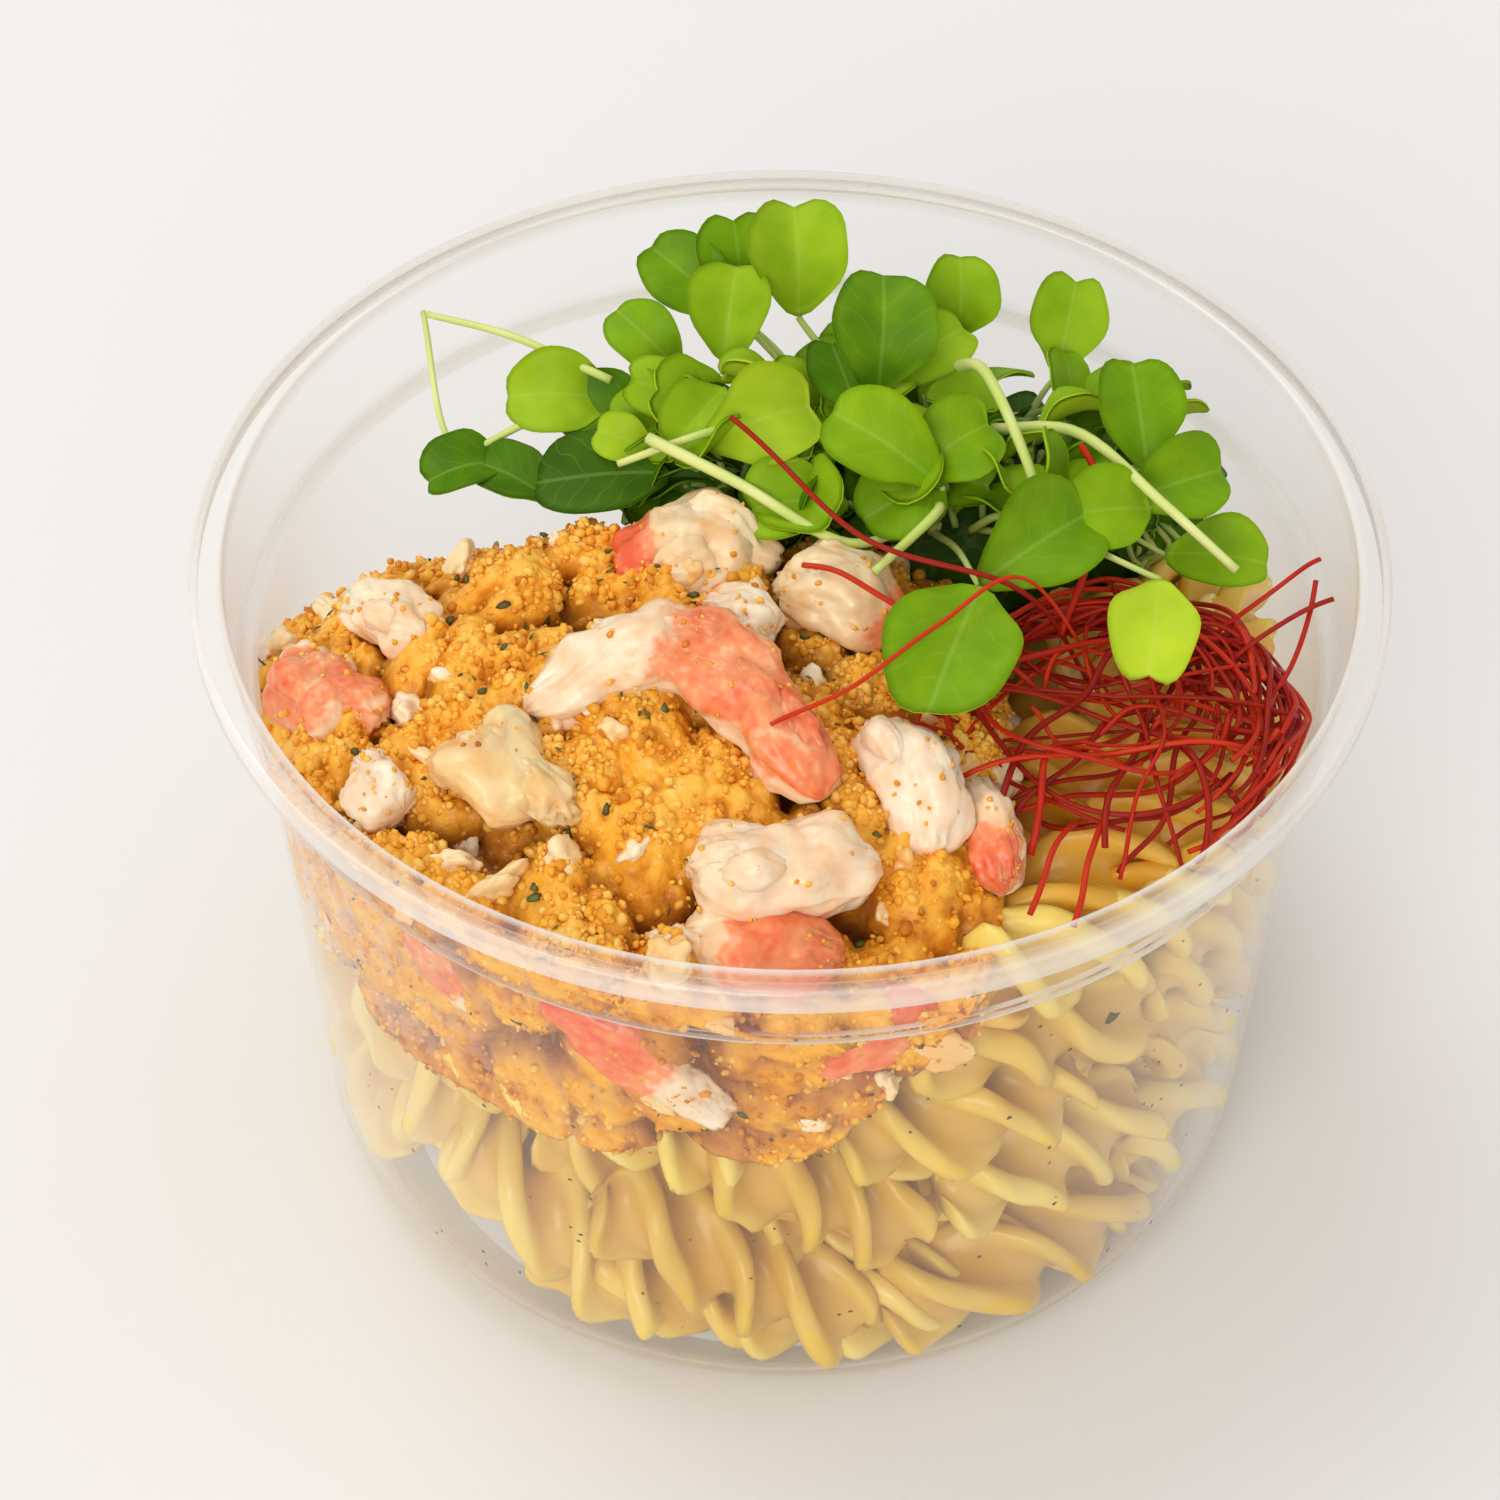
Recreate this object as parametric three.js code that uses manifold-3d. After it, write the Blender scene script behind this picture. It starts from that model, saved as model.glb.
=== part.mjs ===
// Clear deli cup of fusilli under a prawn and crumb mix, microgreens and chili threads.
// Millimetres, +Z up, origin at the centre of the cup's base. -Y is the front, +X the right.

import * as THREE from 'three';
import { mergeVertices } from 'three/addons/utils/BufferGeometryUtils.js';
import Module from 'manifold-3d';

const wasm = await Module();
wasm.setup();

// Driving dimensions of the cup
const cupHeight = 74.5;
const rimRadius = 58.5;
const rimInnerRadius = 55.2;
const rimLipDrop = 2.3;
const rimThickness = 0.8;
const collarRadius = 55.6;
const ledgeHeight = 62.5;
const ledgeWidth = 1.2;
const wallRadiusAtLedge = 53.2;
const wallRadiusAtBase = 49.1;
const wallThickness = 0.7;
const cornerRadius = 8;
const cupSegments = 40;
const cornerSteps = 3;

// Air kept between two neighbouring pieces
const gap = 0.35;

// Driving dimensions of the food
const pastaRadius = 5.8;
const pastaCoreRadius = 2.3;
const pastaLength = 40;
const pastaPitch = 26;
const pastaFins = 3;
const pastaSteps = 10;
const pastaInset = 6;
const pastaLow = 44;
const pastaRise = 20;
const pastaBackDrop = 10;
const mixCentre = [-15, -17];
const mixTopHeight = 75;
const mixEdgeHeight = 2.4;
const mixCrag = 2.4;
const nestCentre = [32, -18];
const nestReach = 19;
const nestTopHeight = 73.5;
const threadThickness = 0.8;
const greensCentre = [12, 14];
const greensReach = [26, 10];
const greensTopHeight = 75;
const leafThickness = 0.7;
const stemRadius = 0.75;

// Seeded random numbers from 0 to 1
function randomFrom(seed) {
  let state = seed;
  return () => {
    state = (state * 16807) % 2147483647;
    return state / 2147483647;
  };
}

function smooth(from, to, value) {
  const t = Math.min(Math.max((value - from) / (to - from), 0), 1);
  return t * t * (3 - 2 * t);
}

const radians = THREE.MathUtils.degToRad;

// A closed body from points and triangles, turned so that its faces point out
function closedBody(points, triangles) {
  let volume = 0;
  for (const [a, b, c] of triangles) {
    volume += points[a].dot(points[b].clone().cross(points[c]));
  }
  const outward = volume > 0 ? triangles : triangles.map(([a, b, c]) => [a, c, b]);
  return new wasm.Manifold(new wasm.Mesh({
    numProp: 3,
    vertProperties: Float32Array.from(points.flatMap((p) => [p.x, p.y, p.z])),
    triVerts: Uint32Array.from(outward.flat()),
  }));
}

// A turned body from a profile of [radius, height] that starts and ends on the axis
function turnedBody(profile, segments = cupSegments) {
  const outline = profile.map(([radius, height]) => new THREE.Vector2(radius, height));
  const lathe = new THREE.LatheGeometry(outline, segments);
  lathe.rotateX(Math.PI / 2);
  lathe.deleteAttribute('normal');
  lathe.deleteAttribute('uv');
  const merged = mergeVertices(lathe, 1e-4);
  const place = merged.attributes.position;
  const points = [];
  for (let i = 0; i < place.count; i += 1) {
    points.push(new THREE.Vector3().fromBufferAttribute(place, i));
  }
  const triangles = [];
  for (let i = 0; i < merged.index.count; i += 3) {
    const [a, b, c] = [0, 1, 2].map((k) => merged.index.getX(i + k));
    if (a !== b && b !== c && c !== a) {
      triangles.push([a, b, c]);
    }
  }
  return closedBody(points, triangles);
}

// A body swept along a path, its sections closed rings round the path, its ends drawn to the path
function sweptBody(path, steps, section) {
  const points = [path(0)];
  const triangles = [];
  const ahead = (t) => path(Math.min(t + 0.01, 1)).sub(path(Math.max(t - 0.01, 0))).normalize();
  let side = new THREE.Vector3(0, 0, 1).cross(ahead(0));
  if (side.length() < 0.2) {
    side = new THREE.Vector3(1, 0, 0);
  }
  let sides = 0;
  for (let i = 0; i <= steps; i += 1) {
    const t = i / steps;
    const tangent = ahead(t);
    side = side.clone().addScaledVector(tangent, -side.dot(tangent)).normalize();
    const up = tangent.clone().cross(side);
    const ring = section(t);
    sides = ring.length;
    for (const [across, over] of ring) {
      points.push(path(t).addScaledVector(side, across).addScaledVector(up, over));
    }
  }
  points.push(path(1));
  const last = points.length - 1;
  for (let k = 0; k < sides; k += 1) {
    const next = (k + 1) % sides;
    triangles.push([0, 1 + next, 1 + k]);
    for (let i = 0; i < steps; i += 1) {
      const here = 1 + i * sides;
      const there = here + sides;
      const onward = points[here + k].distanceTo(points[there + next]);
      if (onward < points[here + next].distanceTo(points[there + k])) {
        triangles.push([here + k, here + next, there + next], [here + k, there + next, there + k]);
      } else {
        triangles.push([here + k, here + next, there + k], [here + next, there + next, there + k]);
      }
    }
    triangles.push([last, 1 + steps * sides + k, 1 + steps * sides + next]);
  }
  return closedBody(points, triangles);
}

// A heap over a round plan, both faces on the same rings and spokes
function heapBody({ centre, reach, low, high, rings, spokes }) {
  const points = [];
  const triangles = [];
  for (const height of [low, high]) {
    points.push(new THREE.Vector3(centre[0], centre[1], height(centre[0], centre[1])));
    for (let i = 1; i <= rings; i += 1) {
      for (let k = 0; k < spokes; k += 1) {
        const angle = (2 * Math.PI * k) / spokes;
        const radius = (reach(angle) * i) / rings;
        const x = centre[0] + radius * Math.cos(angle);
        const y = centre[1] + radius * Math.sin(angle);
        points.push(new THREE.Vector3(x, y, height(x, y)));
      }
    }
  }
  const top = 1 + rings * spokes;
  for (let k = 0; k < spokes; k += 1) {
    const next = (k + 1) % spokes;
    triangles.push([top, top + 1 + k, top + 1 + next]);
    triangles.push([0, 1 + next, 1 + k]);
    for (let i = 0; i < rings - 1; i += 1) {
      const inner = 1 + i * spokes;
      const outer = inner + spokes;
      triangles.push([top + inner + k, top + outer + k, top + outer + next]);
      triangles.push([top + inner + k, top + outer + next, top + inner + next]);
      triangles.push([inner + k, outer + next, outer + k]);
      triangles.push([inner + k, inner + next, outer + next]);
    }
    const edge = 1 + (rings - 1) * spokes;
    triangles.push([edge + k, edge + next, top + edge + next]);
    triangles.push([edge + k, top + edge + next, top + edge + k]);
  }
  return closedBody(points, triangles);
}

// A smooth path through a few places
function pathThrough(places) {
  const curve = new THREE.CatmullRomCurve3(places.map((place) => new THREE.Vector3(...place)));
  return (t) => curve.getPoint(t);
}

// Edges shorter than this and faces thinner than a third of it aren't kept
const shortestEdge = 0.12;

// Neighbours of each point, and the faces round it
function facesRound(faces) {
  const round = new Map();
  for (const face of faces) {
    for (const i of face) {
      if (!round.has(i)) {
        round.set(i, new Set());
      }
      round.get(i).add(face);
    }
  }
  return round;
}

function neighboursOf(round, i) {
  const near = new Set([...round.get(i)].flat());
  near.delete(i);
  return near;
}

function normalOf(points, [a, b, c]) {
  return points[b].clone().sub(points[a]).cross(points[c].clone().sub(points[a]));
}

// Draws one end of an edge to the other, where the surface stays whole and no face turns over
function drawTogether(points, faces, round, from, to) {
  const shared = [...neighboursOf(round, from)].filter((i) => neighboursOf(round, to).has(i));
  if (shared.length !== 2) {
    return false;
  }
  const moved = [...round.get(from)].filter((face) => !face.includes(to));
  for (const face of moved) {
    const before = normalOf(points, face).normalize();
    const after = normalOf(points, face.map((i) => (i === from ? to : i))).normalize();
    if (before.dot(after) < 0.2) {
      return false;
    }
  }
  for (const face of [...round.get(from)].filter((old) => old.includes(to))) {
    faces.delete(face);
    face.forEach((i) => round.get(i).delete(face));
  }
  for (const face of moved) {
    face[face.indexOf(from)] = to;
    round.get(to).add(face);
  }
  round.delete(from);
  return true;
}

// Turns the long edge of a thin face to run the other way across its two faces
function turnEdge(points, faces, round, thin) {
  const lengths = thin.map((i, k) => points[i].distanceTo(points[thin[(k + 1) % 3]]));
  const k = lengths.indexOf(Math.max(...lengths));
  const [a, b, c] = [thin[k], thin[(k + 1) % 3], thin[(k + 2) % 3]];
  const other = [...round.get(a)].find((face) => face !== thin && face.includes(b));
  const d = other.find((i) => i !== a && i !== b);
  if (d === c || neighboursOf(round, c).has(d)) {
    return false;
  }
  const made = [[a, d, c], [d, b, c]];
  const along = normalOf(points, other).normalize();
  if (made.some((face) => along.dot(normalOf(points, face).normalize()) < 0.5)) {
    return false;
  }
  for (const face of [thin, other]) {
    faces.delete(face);
    face.forEach((i) => round.get(i).delete(face));
  }
  for (const face of made) {
    faces.add(face);
    face.forEach((i) => round.get(i).add(face));
  }
  return true;
}

function tidied(points, list) {
  const faces = new Set(list);
  const round = facesRound(list);
  let changed = true;
  for (let pass = 0; pass < 12 && changed; pass += 1) {
    changed = false;
    for (const face of [...faces]) {
      if (faces.has(face)) {
        for (let k = 0; k < 3 && faces.has(face); k += 1) {
          const [a, b] = [face[k], face[(k + 1) % 3]];
          if (points[a].distanceTo(points[b]) < shortestEdge) {
            changed = drawTogether(points, faces, round, a, b) || changed;
          }
        }
      }
      if (faces.has(face)) {
        const lengths = face.map((i, k) => points[i].distanceTo(points[face[(k + 1) % 3]]));
        if (normalOf(points, face).length() / Math.max(...lengths) < shortestEdge / 3) {
          changed = turnEdge(points, faces, round, face) || changed;
        }
      }
    }
  }
  return [...faces];
}

// The largest shell of a solid, as a geometry
function geometryOf(solid) {
  const mesh = solid.getMesh();
  const points = [];
  for (let i = 0; i < mesh.vertProperties.length; i += mesh.numProp) {
    points.push(new THREE.Vector3().fromArray(mesh.vertProperties, i));
  }
  const faces = [];
  for (let i = 0; i < mesh.triVerts.length; i += 3) {
    faces.push([...mesh.triVerts.slice(i, i + 3)]);
  }
  const parent = points.map((_, i) => i);
  const find = (start) => {
    let i = start;
    while (parent[i] !== i) {
      parent[i] = parent[parent[i]];
      i = parent[i];
    }
    return i;
  };
  for (const [a, b, c] of faces) {
    parent[find(a)] = find(b);
    parent[find(b)] = find(c);
  }
  const volumes = new Map();
  for (const [a, b, c] of faces) {
    const volume = points[a].dot(points[b].clone().cross(points[c]));
    volumes.set(find(a), (volumes.get(find(a)) ?? 0) + volume);
  }
  const largest = [...volumes.entries()].sort((p, q) => q[1] - p[1])[0][0];
  const kept = tidied(points, faces.filter(([a]) => find(a) === largest));
  const geometry = new THREE.BufferGeometry();
  const places = kept.flatMap((face) => face.flatMap((i) => points[i].toArray()));
  geometry.setAttribute('position', new THREE.Float32BufferAttribute(places, 3));
  return geometry;
}

// The cup's inside radius at a height above its floor
function innerRadius(height) {
  const slope = (wallRadiusAtLedge - wallRadiusAtBase) / ledgeHeight;
  const wall = wallRadiusAtBase - wallThickness + slope * height;
  if (height < cornerRadius) {
    const inner = cornerRadius - wallThickness;
    const below = Math.min(cornerRadius - height, inner);
    return wall - inner + Math.sqrt(inner * inner - below * below);
  }
  if (height > ledgeHeight) {
    const up = Math.min((height - ledgeHeight) / (cupHeight - rimThickness - ledgeHeight), 1);
    const collar = wallRadiusAtLedge + ledgeWidth - wallThickness;
    return collar + up * (collarRadius - wallThickness - collar);
  }
  return wall;
}

function cupBody() {
  const outerCorner = [];
  const innerCorner = [];
  for (let i = 0; i <= cornerSteps; i += 1) {
    const angle = (i / cornerSteps) * (Math.PI / 2);
    const centre = wallRadiusAtBase - cornerRadius;
    const inner = cornerRadius - wallThickness;
    const outerAt = [centre + cornerRadius * Math.sin(angle), cornerRadius * (1 - Math.cos(angle))];
    outerCorner.push(outerAt);
    innerCorner.unshift([centre + inner * Math.sin(angle), cornerRadius - inner * Math.cos(angle)]);
  }
  const lipBottom = cupHeight - rimLipDrop;
  return turnedBody([
    [0, 0],
    ...outerCorner,
    [wallRadiusAtLedge, ledgeHeight],
    [wallRadiusAtLedge + ledgeWidth, ledgeHeight + 0.6],
    [collarRadius, cupHeight - 2 * rimThickness],
    [rimRadius - rimThickness, cupHeight - rimThickness],
    [rimRadius - rimThickness, lipBottom],
    [rimRadius, lipBottom],
    [rimRadius, cupHeight - 0.5],
    [rimRadius - 0.5, cupHeight],
    [rimInnerRadius, cupHeight],
    [collarRadius - wallThickness, cupHeight - rimThickness],
    [wallRadiusAtLedge + ledgeWidth - wallThickness, ledgeHeight + 0.8],
    [wallRadiusAtLedge - wallThickness, ledgeHeight],
    ...innerCorner,
    [0, wallThickness],
  ]);
}

// The room inside the cup, open upwards, a little smaller than the cup by the margin
function roomInCup(margin) {
  const profile = [[0, wallThickness + margin]];
  const inner = cornerRadius - wallThickness - margin;
  const centre = wallRadiusAtBase - cornerRadius;
  for (let i = 0; i <= cornerSteps; i += 1) {
    const angle = (i / cornerSteps) * (Math.PI / 2);
    profile.push([centre + inner * Math.sin(angle), cornerRadius - inner * Math.cos(angle)]);
  }
  profile.push([innerRadius(ledgeHeight) - margin, ledgeHeight]);
  profile.push([wallRadiusAtLedge + ledgeWidth - wallThickness - margin, ledgeHeight + 2]);
  profile.push([wallRadiusAtLedge + ledgeWidth - wallThickness - margin, cupHeight + 30]);
  profile.push([0, cupHeight + 30]);
  return turnedBody(profile);
}

// Height of the pasta's top, high on the right and low at the back left
function pastaTop(x, y) {
  const rise = pastaRise * smooth(-8, 26, x);
  const drop = pastaBackDrop * smooth(2, 34, y);
  const waves = 1.4 * Math.sin(0.21 * x + 0.6) * Math.cos(0.18 * y);
  return pastaLow + rise - drop + waves;
}

// How far out a place lies in the mix's rounded plan, 1 at its edge
function mixSpread(x, y) {
  const dx = x - mixCentre[0];
  const dy = y - mixCentre[1];
  const across = dx > 0 ? 36 : 46;
  const along = dy > 0 ? 33 : 50;
  return (Math.abs(dx / across) ** 3 + Math.abs(dy / along) ** 3) ** (1 / 3);
}

function mixReach(angle) {
  return 1 / mixSpread(mixCentre[0] + Math.cos(angle), mixCentre[1] + Math.sin(angle));
}

// Height of the prawn and crumb mix without its crags
function mixTop(x, y) {
  const away = Math.hypot(x + 11, y + 14) / 38;
  const dome = mixTopHeight - 7 * away * away;
  const foot = pastaTop(x, y) + mixEdgeHeight;
  const out = Math.min(mixSpread(x, y), 1);
  return foot + Math.max(dome - foot, 0) * Math.sqrt(1 - out ** 4);
}

// The same with its crags
function mixSurface(x, y) {
  const coarse = Math.sin(0.9 * x + 0.5 * y + 1) * Math.cos(0.7 * y - 0.4 * x);
  const fine = 0.6 * Math.sin(1.7 * x - 1.1 * y);
  return mixTop(x, y) + 0.6 * mixCrag * (coarse + fine);
}

// Height of the chili nest, a little dished in its middle
function nestTop(x, y) {
  const out = Math.min(Math.hypot(x - nestCentre[0], y - nestCentre[1]) / nestReach, 1);
  return nestTopHeight - 5.5 * out ** 4 - 1.2 * (1 - out) ** 2;
}

// The room of each layer, grown by a margin where a neighbour is cut clear of it
function pastaRoom(margin) {
  return heapBody({
    centre: [0, 0],
    reach: () => 60,
    low: () => -5,
    high: (x, y) => pastaTop(x, y) + margin,
    rings: 6,
    spokes: 20,
  });
}

function mixRoom(margin) {
  return heapBody({
    centre: mixCentre,
    reach: (angle) => mixReach(angle) + 1.5 + margin,
    low: () => 20,
    high: (x, y) => mixTop(x, y) + mixCrag + margin,
    rings: 5,
    spokes: 20,
  });
}

function nestRoom(margin) {
  return heapBody({
    centre: nestCentre,
    reach: () => nestReach + margin,
    low: () => 40,
    high: (x, y) => nestTop(x, y) + margin,
    rings: 4,
    spokes: 20,
  });
}

// One piece of fusilli: fins that wind round a bent axis
function fusilliBody(path, turn) {
  const winding = (2 * Math.PI * pastaLength) / pastaPitch;
  return sweptBody(path, pastaSteps, (t) => {
    const ring = [];
    for (let k = 0; k < 2 * pastaFins; k += 1) {
      const angle = turn + winding * t + (Math.PI * k) / pastaFins;
      const radius = k % 2 === 0 ? pastaRadius : pastaCoreRadius;
      ring.push([radius * Math.cos(angle), radius * Math.sin(angle)]);
    }
    return ring;
  });
}

// A piece's axis along the wall from one [azimuth, height] to another
function pathOnWall(from, to) {
  return (t) => {
    const azimuth = radians(from[0] + (to[0] - from[0]) * t);
    const height = from[1] + (to[1] - from[1]) * t;
    const radius = innerRadius(height) - pastaRadius - gap - 0.3;
    return new THREE.Vector3(radius * Math.cos(azimuth), radius * Math.sin(azimuth), height);
  };
}

// A piece's axis lying on the heap, from its middle, heading and rise in degrees
function pathOnTop(middle, heading, rise) {
  const [x, y] = middle;
  const level = Math.cos(radians(rise));
  const [east, north] = [Math.cos(radians(heading)) * level, Math.sin(radians(heading)) * level];
  return (t) => {
    const along = (t - 0.5) * pastaLength;
    const bow = 2.5 * (2 * t - 1) ** 2;
    const height = pastaTop(x, y) - pastaRadius + 0.4 + along * Math.sin(radians(rise));
    return new THREE.Vector3(x + along * east, y + along * north, height - bow);
  };
}

// Pieces round the wall: rows one above the other, each piece sloping down to the right
const wallRowHeight = 12.8;
const wallRowStart = 7.6;
const wallRowCount = 4;
const wallRowPieces = 6;
const wallRowTurn = 3;
const wallSlope = 10;
const wallPieceShare = 0.92;

// Pieces seen on top: [x, y] of the middle, heading and rise
const piecesOnTop = [
  [[21, -25], 25, 3],
  [[33, -5], 100, 0],
  [[-22, 22], 35, 0],
];

// The pasta behind the pieces that show: a plain heap that they are sunk in
function pastaCore() {
  const inset = pastaRadius + 0.7;
  const top = pastaLow + pastaRise;
  const wall = turnedBody([
    [0, 3],
    [innerRadius(cornerRadius) - inset - 2, 3],
    [innerRadius(cornerRadius) - inset, cornerRadius],
    [innerRadius(top) - inset, top],
    [0, top],
  ], 18);
  return wall.intersect(heapBody({
    centre: [0, 0],
    reach: () => 56,
    low: () => -5,
    high: (x, y) => pastaTop(x, y) - pastaInset,
    rings: 2,
    spokes: 16,
  }));
}

function pastaBody() {
  const random = randomFrom(7);
  let body = pastaCore();
  for (let row = 0; row < wallRowCount; row += 1) {
    for (let i = 0; i < wallRowPieces; i += 1) {
      const spacing = 360 / wallRowPieces;
      const azimuth = wallRowTurn * row + spacing * i;
      const slope = wallSlope * (0.93 + 0.14 * random());
      const turn = random() * Math.PI;
      const high = wallRowStart + wallRowHeight * row + slope;
      const path = pathOnWall([azimuth, high], [azimuth + spacing * wallPieceShare, high - slope]);
      const centre = path(0.5);
      if (centre.z + pastaRadius < pastaTop(centre.x, centre.y) + 1.5) {
        body = body.add(fusilliBody(path, turn));
      }
    }
  }
  for (const [middle, heading, rise] of piecesOnTop) {
    body = body.add(fusilliBody(pathOnTop(middle, heading, rise), random() * Math.PI));
  }
  return body.intersect(pastaRoom(0)).intersect(roomInCup(gap));
}

// The prawn piece that lies across the heap
const longPrawn = [[-25, -23, 74], [-15, -18, 77], [-6, -21, 77], [3, -33, 73]];

// Prawn pieces: places along the middle, width, thickness, share of the width kept at both ends
const prawns = [
  { along: longPrawn, width: 10, thick: 7, ends: [0.35, 0.7] },
  { along: [[-9, -41.5, 70.5], [0, -41, 72], [8, -38.5, 70]], width: 11, thick: 8.5, ends: [0.8, 0.5] },
  { along: [[9, -22, 71.5], [12, -29, 71.5], [13, -36, 68.5]], width: 8, thick: 6, ends: [0.6, 0.7] },
  { along: [[-17, -3, 72.5], [-10, -1, 74.5], [-4, -3, 73]], width: 11, thick: 8.5, ends: [0.7, 0.8] },
  { along: [[-1, -6, 73.5], [5, -7, 74], [11, -9, 71.5]], width: 9, thick: 7, ends: [0.7, 0.6] },
  { along: [[-47, -7, 66], [-46, -14, 67.5], [-42, -20, 68.5]], width: 8.5, thick: 6.5, ends: [0.6, 0.7] },
  { along: [[-10, -46, 67.5], [-3, -48, 68.5], [5, -47, 66.5]], width: 8, thick: 6.5, ends: [0.7, 0.6] },
  { along: [[-31, -26, 72], [-27, -30, 73.5], [-23, -34, 72]], width: 10.5, thick: 7, ends: [0.8, 0.7] },
  { along: [[-9, -10.5, 75.5], [-5, -12, 76.5], [-2, -14.5, 75.5]], width: 7.5, thick: 5, ends: [0.7, 0.7] },
  { along: [[-42, -3, 69], [-39, -6, 70.5], [-35, -11, 72]], width: 7.5, thick: 6, ends: [0.7, 0.6] },
  { along: [[-40, -28, 69.5], [-38, -30, 70], [-36, -32, 69.5]], width: 6.5, thick: 6, ends: [0.8, 0.8] },
  { along: [[17, -26, 67.5], [19, -32, 68], [20, -38, 65.5]], width: 5.5, thick: 4.5, ends: [0.6, 0.5] },
];

// Prawn pieces at the wall, from one [azimuth, height] to another
const prawnsAtWall = [
  { from: [-116, 61], to: [-96, 47], width: 11, thick: 6.5, ends: [0.9, 0.5] },
  { from: [-134, 60], to: [-125, 53], width: 6.5, thick: 5, ends: [0.7, 0.7] },
  { from: [-87, 56], to: [-77, 60], width: 10, thick: 5.5, ends: [0.7, 0.7] },
];

const prawnSides = 6;
const prawnSteps = 3;

// One prawn piece, uneven along its length, grown by a margin where a neighbour is cut clear of it
function prawnBody({ path, width, thick, ends }, seed, margin) {
  const random = randomFrom(seed);
  return sweptBody(path, prawnSteps, (t) => {
    const end = t < 0.5 ? ends[0] : ends[1];
    const taper = end + (1 - end) * Math.sin(Math.PI * t) ** 0.7;
    const ring = [];
    for (let k = 0; k < prawnSides; k += 1) {
      const angle = (2 * Math.PI * k) / prawnSides;
      const uneven = 0.9 + 0.22 * random();
      const across = (taper * uneven * width) / 2 + margin;
      const over = (taper * uneven * thick) / 2 + margin;
      ring.push([across * Math.cos(angle), over * Math.sin(angle)]);
    }
    return ring;
  });
}

// A piece's path, drawn out past both ends by the margin
function longerPath(path, margin) {
  const start = path(0).sub(path(0.1)).setLength(margin);
  const finish = path(1).sub(path(0.9)).setLength(margin);
  return (t) => path(t).addScaledVector(start, 1 - t).addScaledVector(finish, t);
}

function prawnPieces() {
  const onTop = prawns.map((piece) => ({ ...piece, path: pathThrough(piece.along) }));
  const atWall = prawnsAtWall.map((piece) => ({
    ...piece,
    path: (t) => {
      const azimuth = radians(piece.from[0] + (piece.to[0] - piece.from[0]) * t);
      const height = piece.from[1] + (piece.to[1] - piece.from[1]) * t;
      const radius = innerRadius(height) - gap - piece.thick / 2;
      return new THREE.Vector3(radius * Math.cos(azimuth), radius * Math.sin(azimuth), height);
    },
  }));
  return [...onTop, ...atWall];
}

const prawnList = prawnPieces();
const prawnSeed = 101;

function grownPrawn(index) {
  const piece = prawnList[index];
  const path = longerPath(piece.path, 1.5 * gap);
  return prawnBody({ ...piece, path }, prawnSeed + index, gap);
}

// A solid cut clear of the prawn pieces before a given one
function clearOfPrawns(solid, count) {
  let body = solid;
  for (let i = 0; i < count; i += 1) {
    body = body.subtract(grownPrawn(i));
  }
  return body;
}

// Crumb clumps on the mix: lumps of uneven size along its top and at the wall
const clumpCount = 12;
const clumpSizes = [3.6, 5.8];

function clumpBody(centre, size, random) {
  const ball = new THREE.IcosahedronGeometry(size, 0);
  ball.deleteAttribute('normal');
  ball.deleteAttribute('uv');
  const merged = mergeVertices(ball, 1e-4);
  const turn = new THREE.Euler(random() * 6, random() * 6, random() * 6);
  const points = [];
  for (let i = 0; i < merged.attributes.position.count; i += 1) {
    const point = new THREE.Vector3().fromBufferAttribute(merged.attributes.position, i);
    points.push(point.multiplyScalar(0.75 + 0.5 * random()).applyEuler(turn).add(centre));
  }
  const triangles = [];
  for (let i = 0; i < merged.index.count; i += 3) {
    triangles.push([0, 1, 2].map((k) => merged.index.getX(i + k)));
  }
  return closedBody(points, triangles);
}

function mixBody() {
  const random = randomFrom(23);
  let body = heapBody({
    centre: mixCentre,
    reach: mixReach,
    low: (x, y) => pastaTop(x, y) - 2,
    high: mixSurface,
    rings: 7,
    spokes: 26,
  });
  for (let i = 0; i < clumpCount; i += 1) {
    const size = clumpSizes[0] + (clumpSizes[1] - clumpSizes[0]) * random();
    const angle = i * 2.4;
    const out = Math.sqrt((i + 0.5) / clumpCount);
    const reach = Math.min(mixReach(angle), 60) * out;
    const x = mixCentre[0] + reach * Math.cos(angle);
    const y = mixCentre[1] + reach * Math.sin(angle);
    const inside = Math.min(1, (innerRadius(ledgeHeight) - 2) / Math.hypot(x, y));
    const centre = new THREE.Vector3(x * inside, y * inside, mixTop(x * inside, y * inside) - 0.45 * size);
    body = body.add(clumpBody(centre, size, random));
  }
  body = body.intersect(mixRoom(0)).intersect(roomInCup(gap)).subtract(pastaRoom(gap));
  return clearOfPrawns(body, prawnList.length);
}

// A thin wavy leaf: base, half widths along its length, notched tip, both faces alike
const leafStations = [
  [0, 0.12],
  [0.35, 0.85],
  [0.75, 1],
  [1, 0.5],
];
const leafNotch = 0.1;

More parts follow.
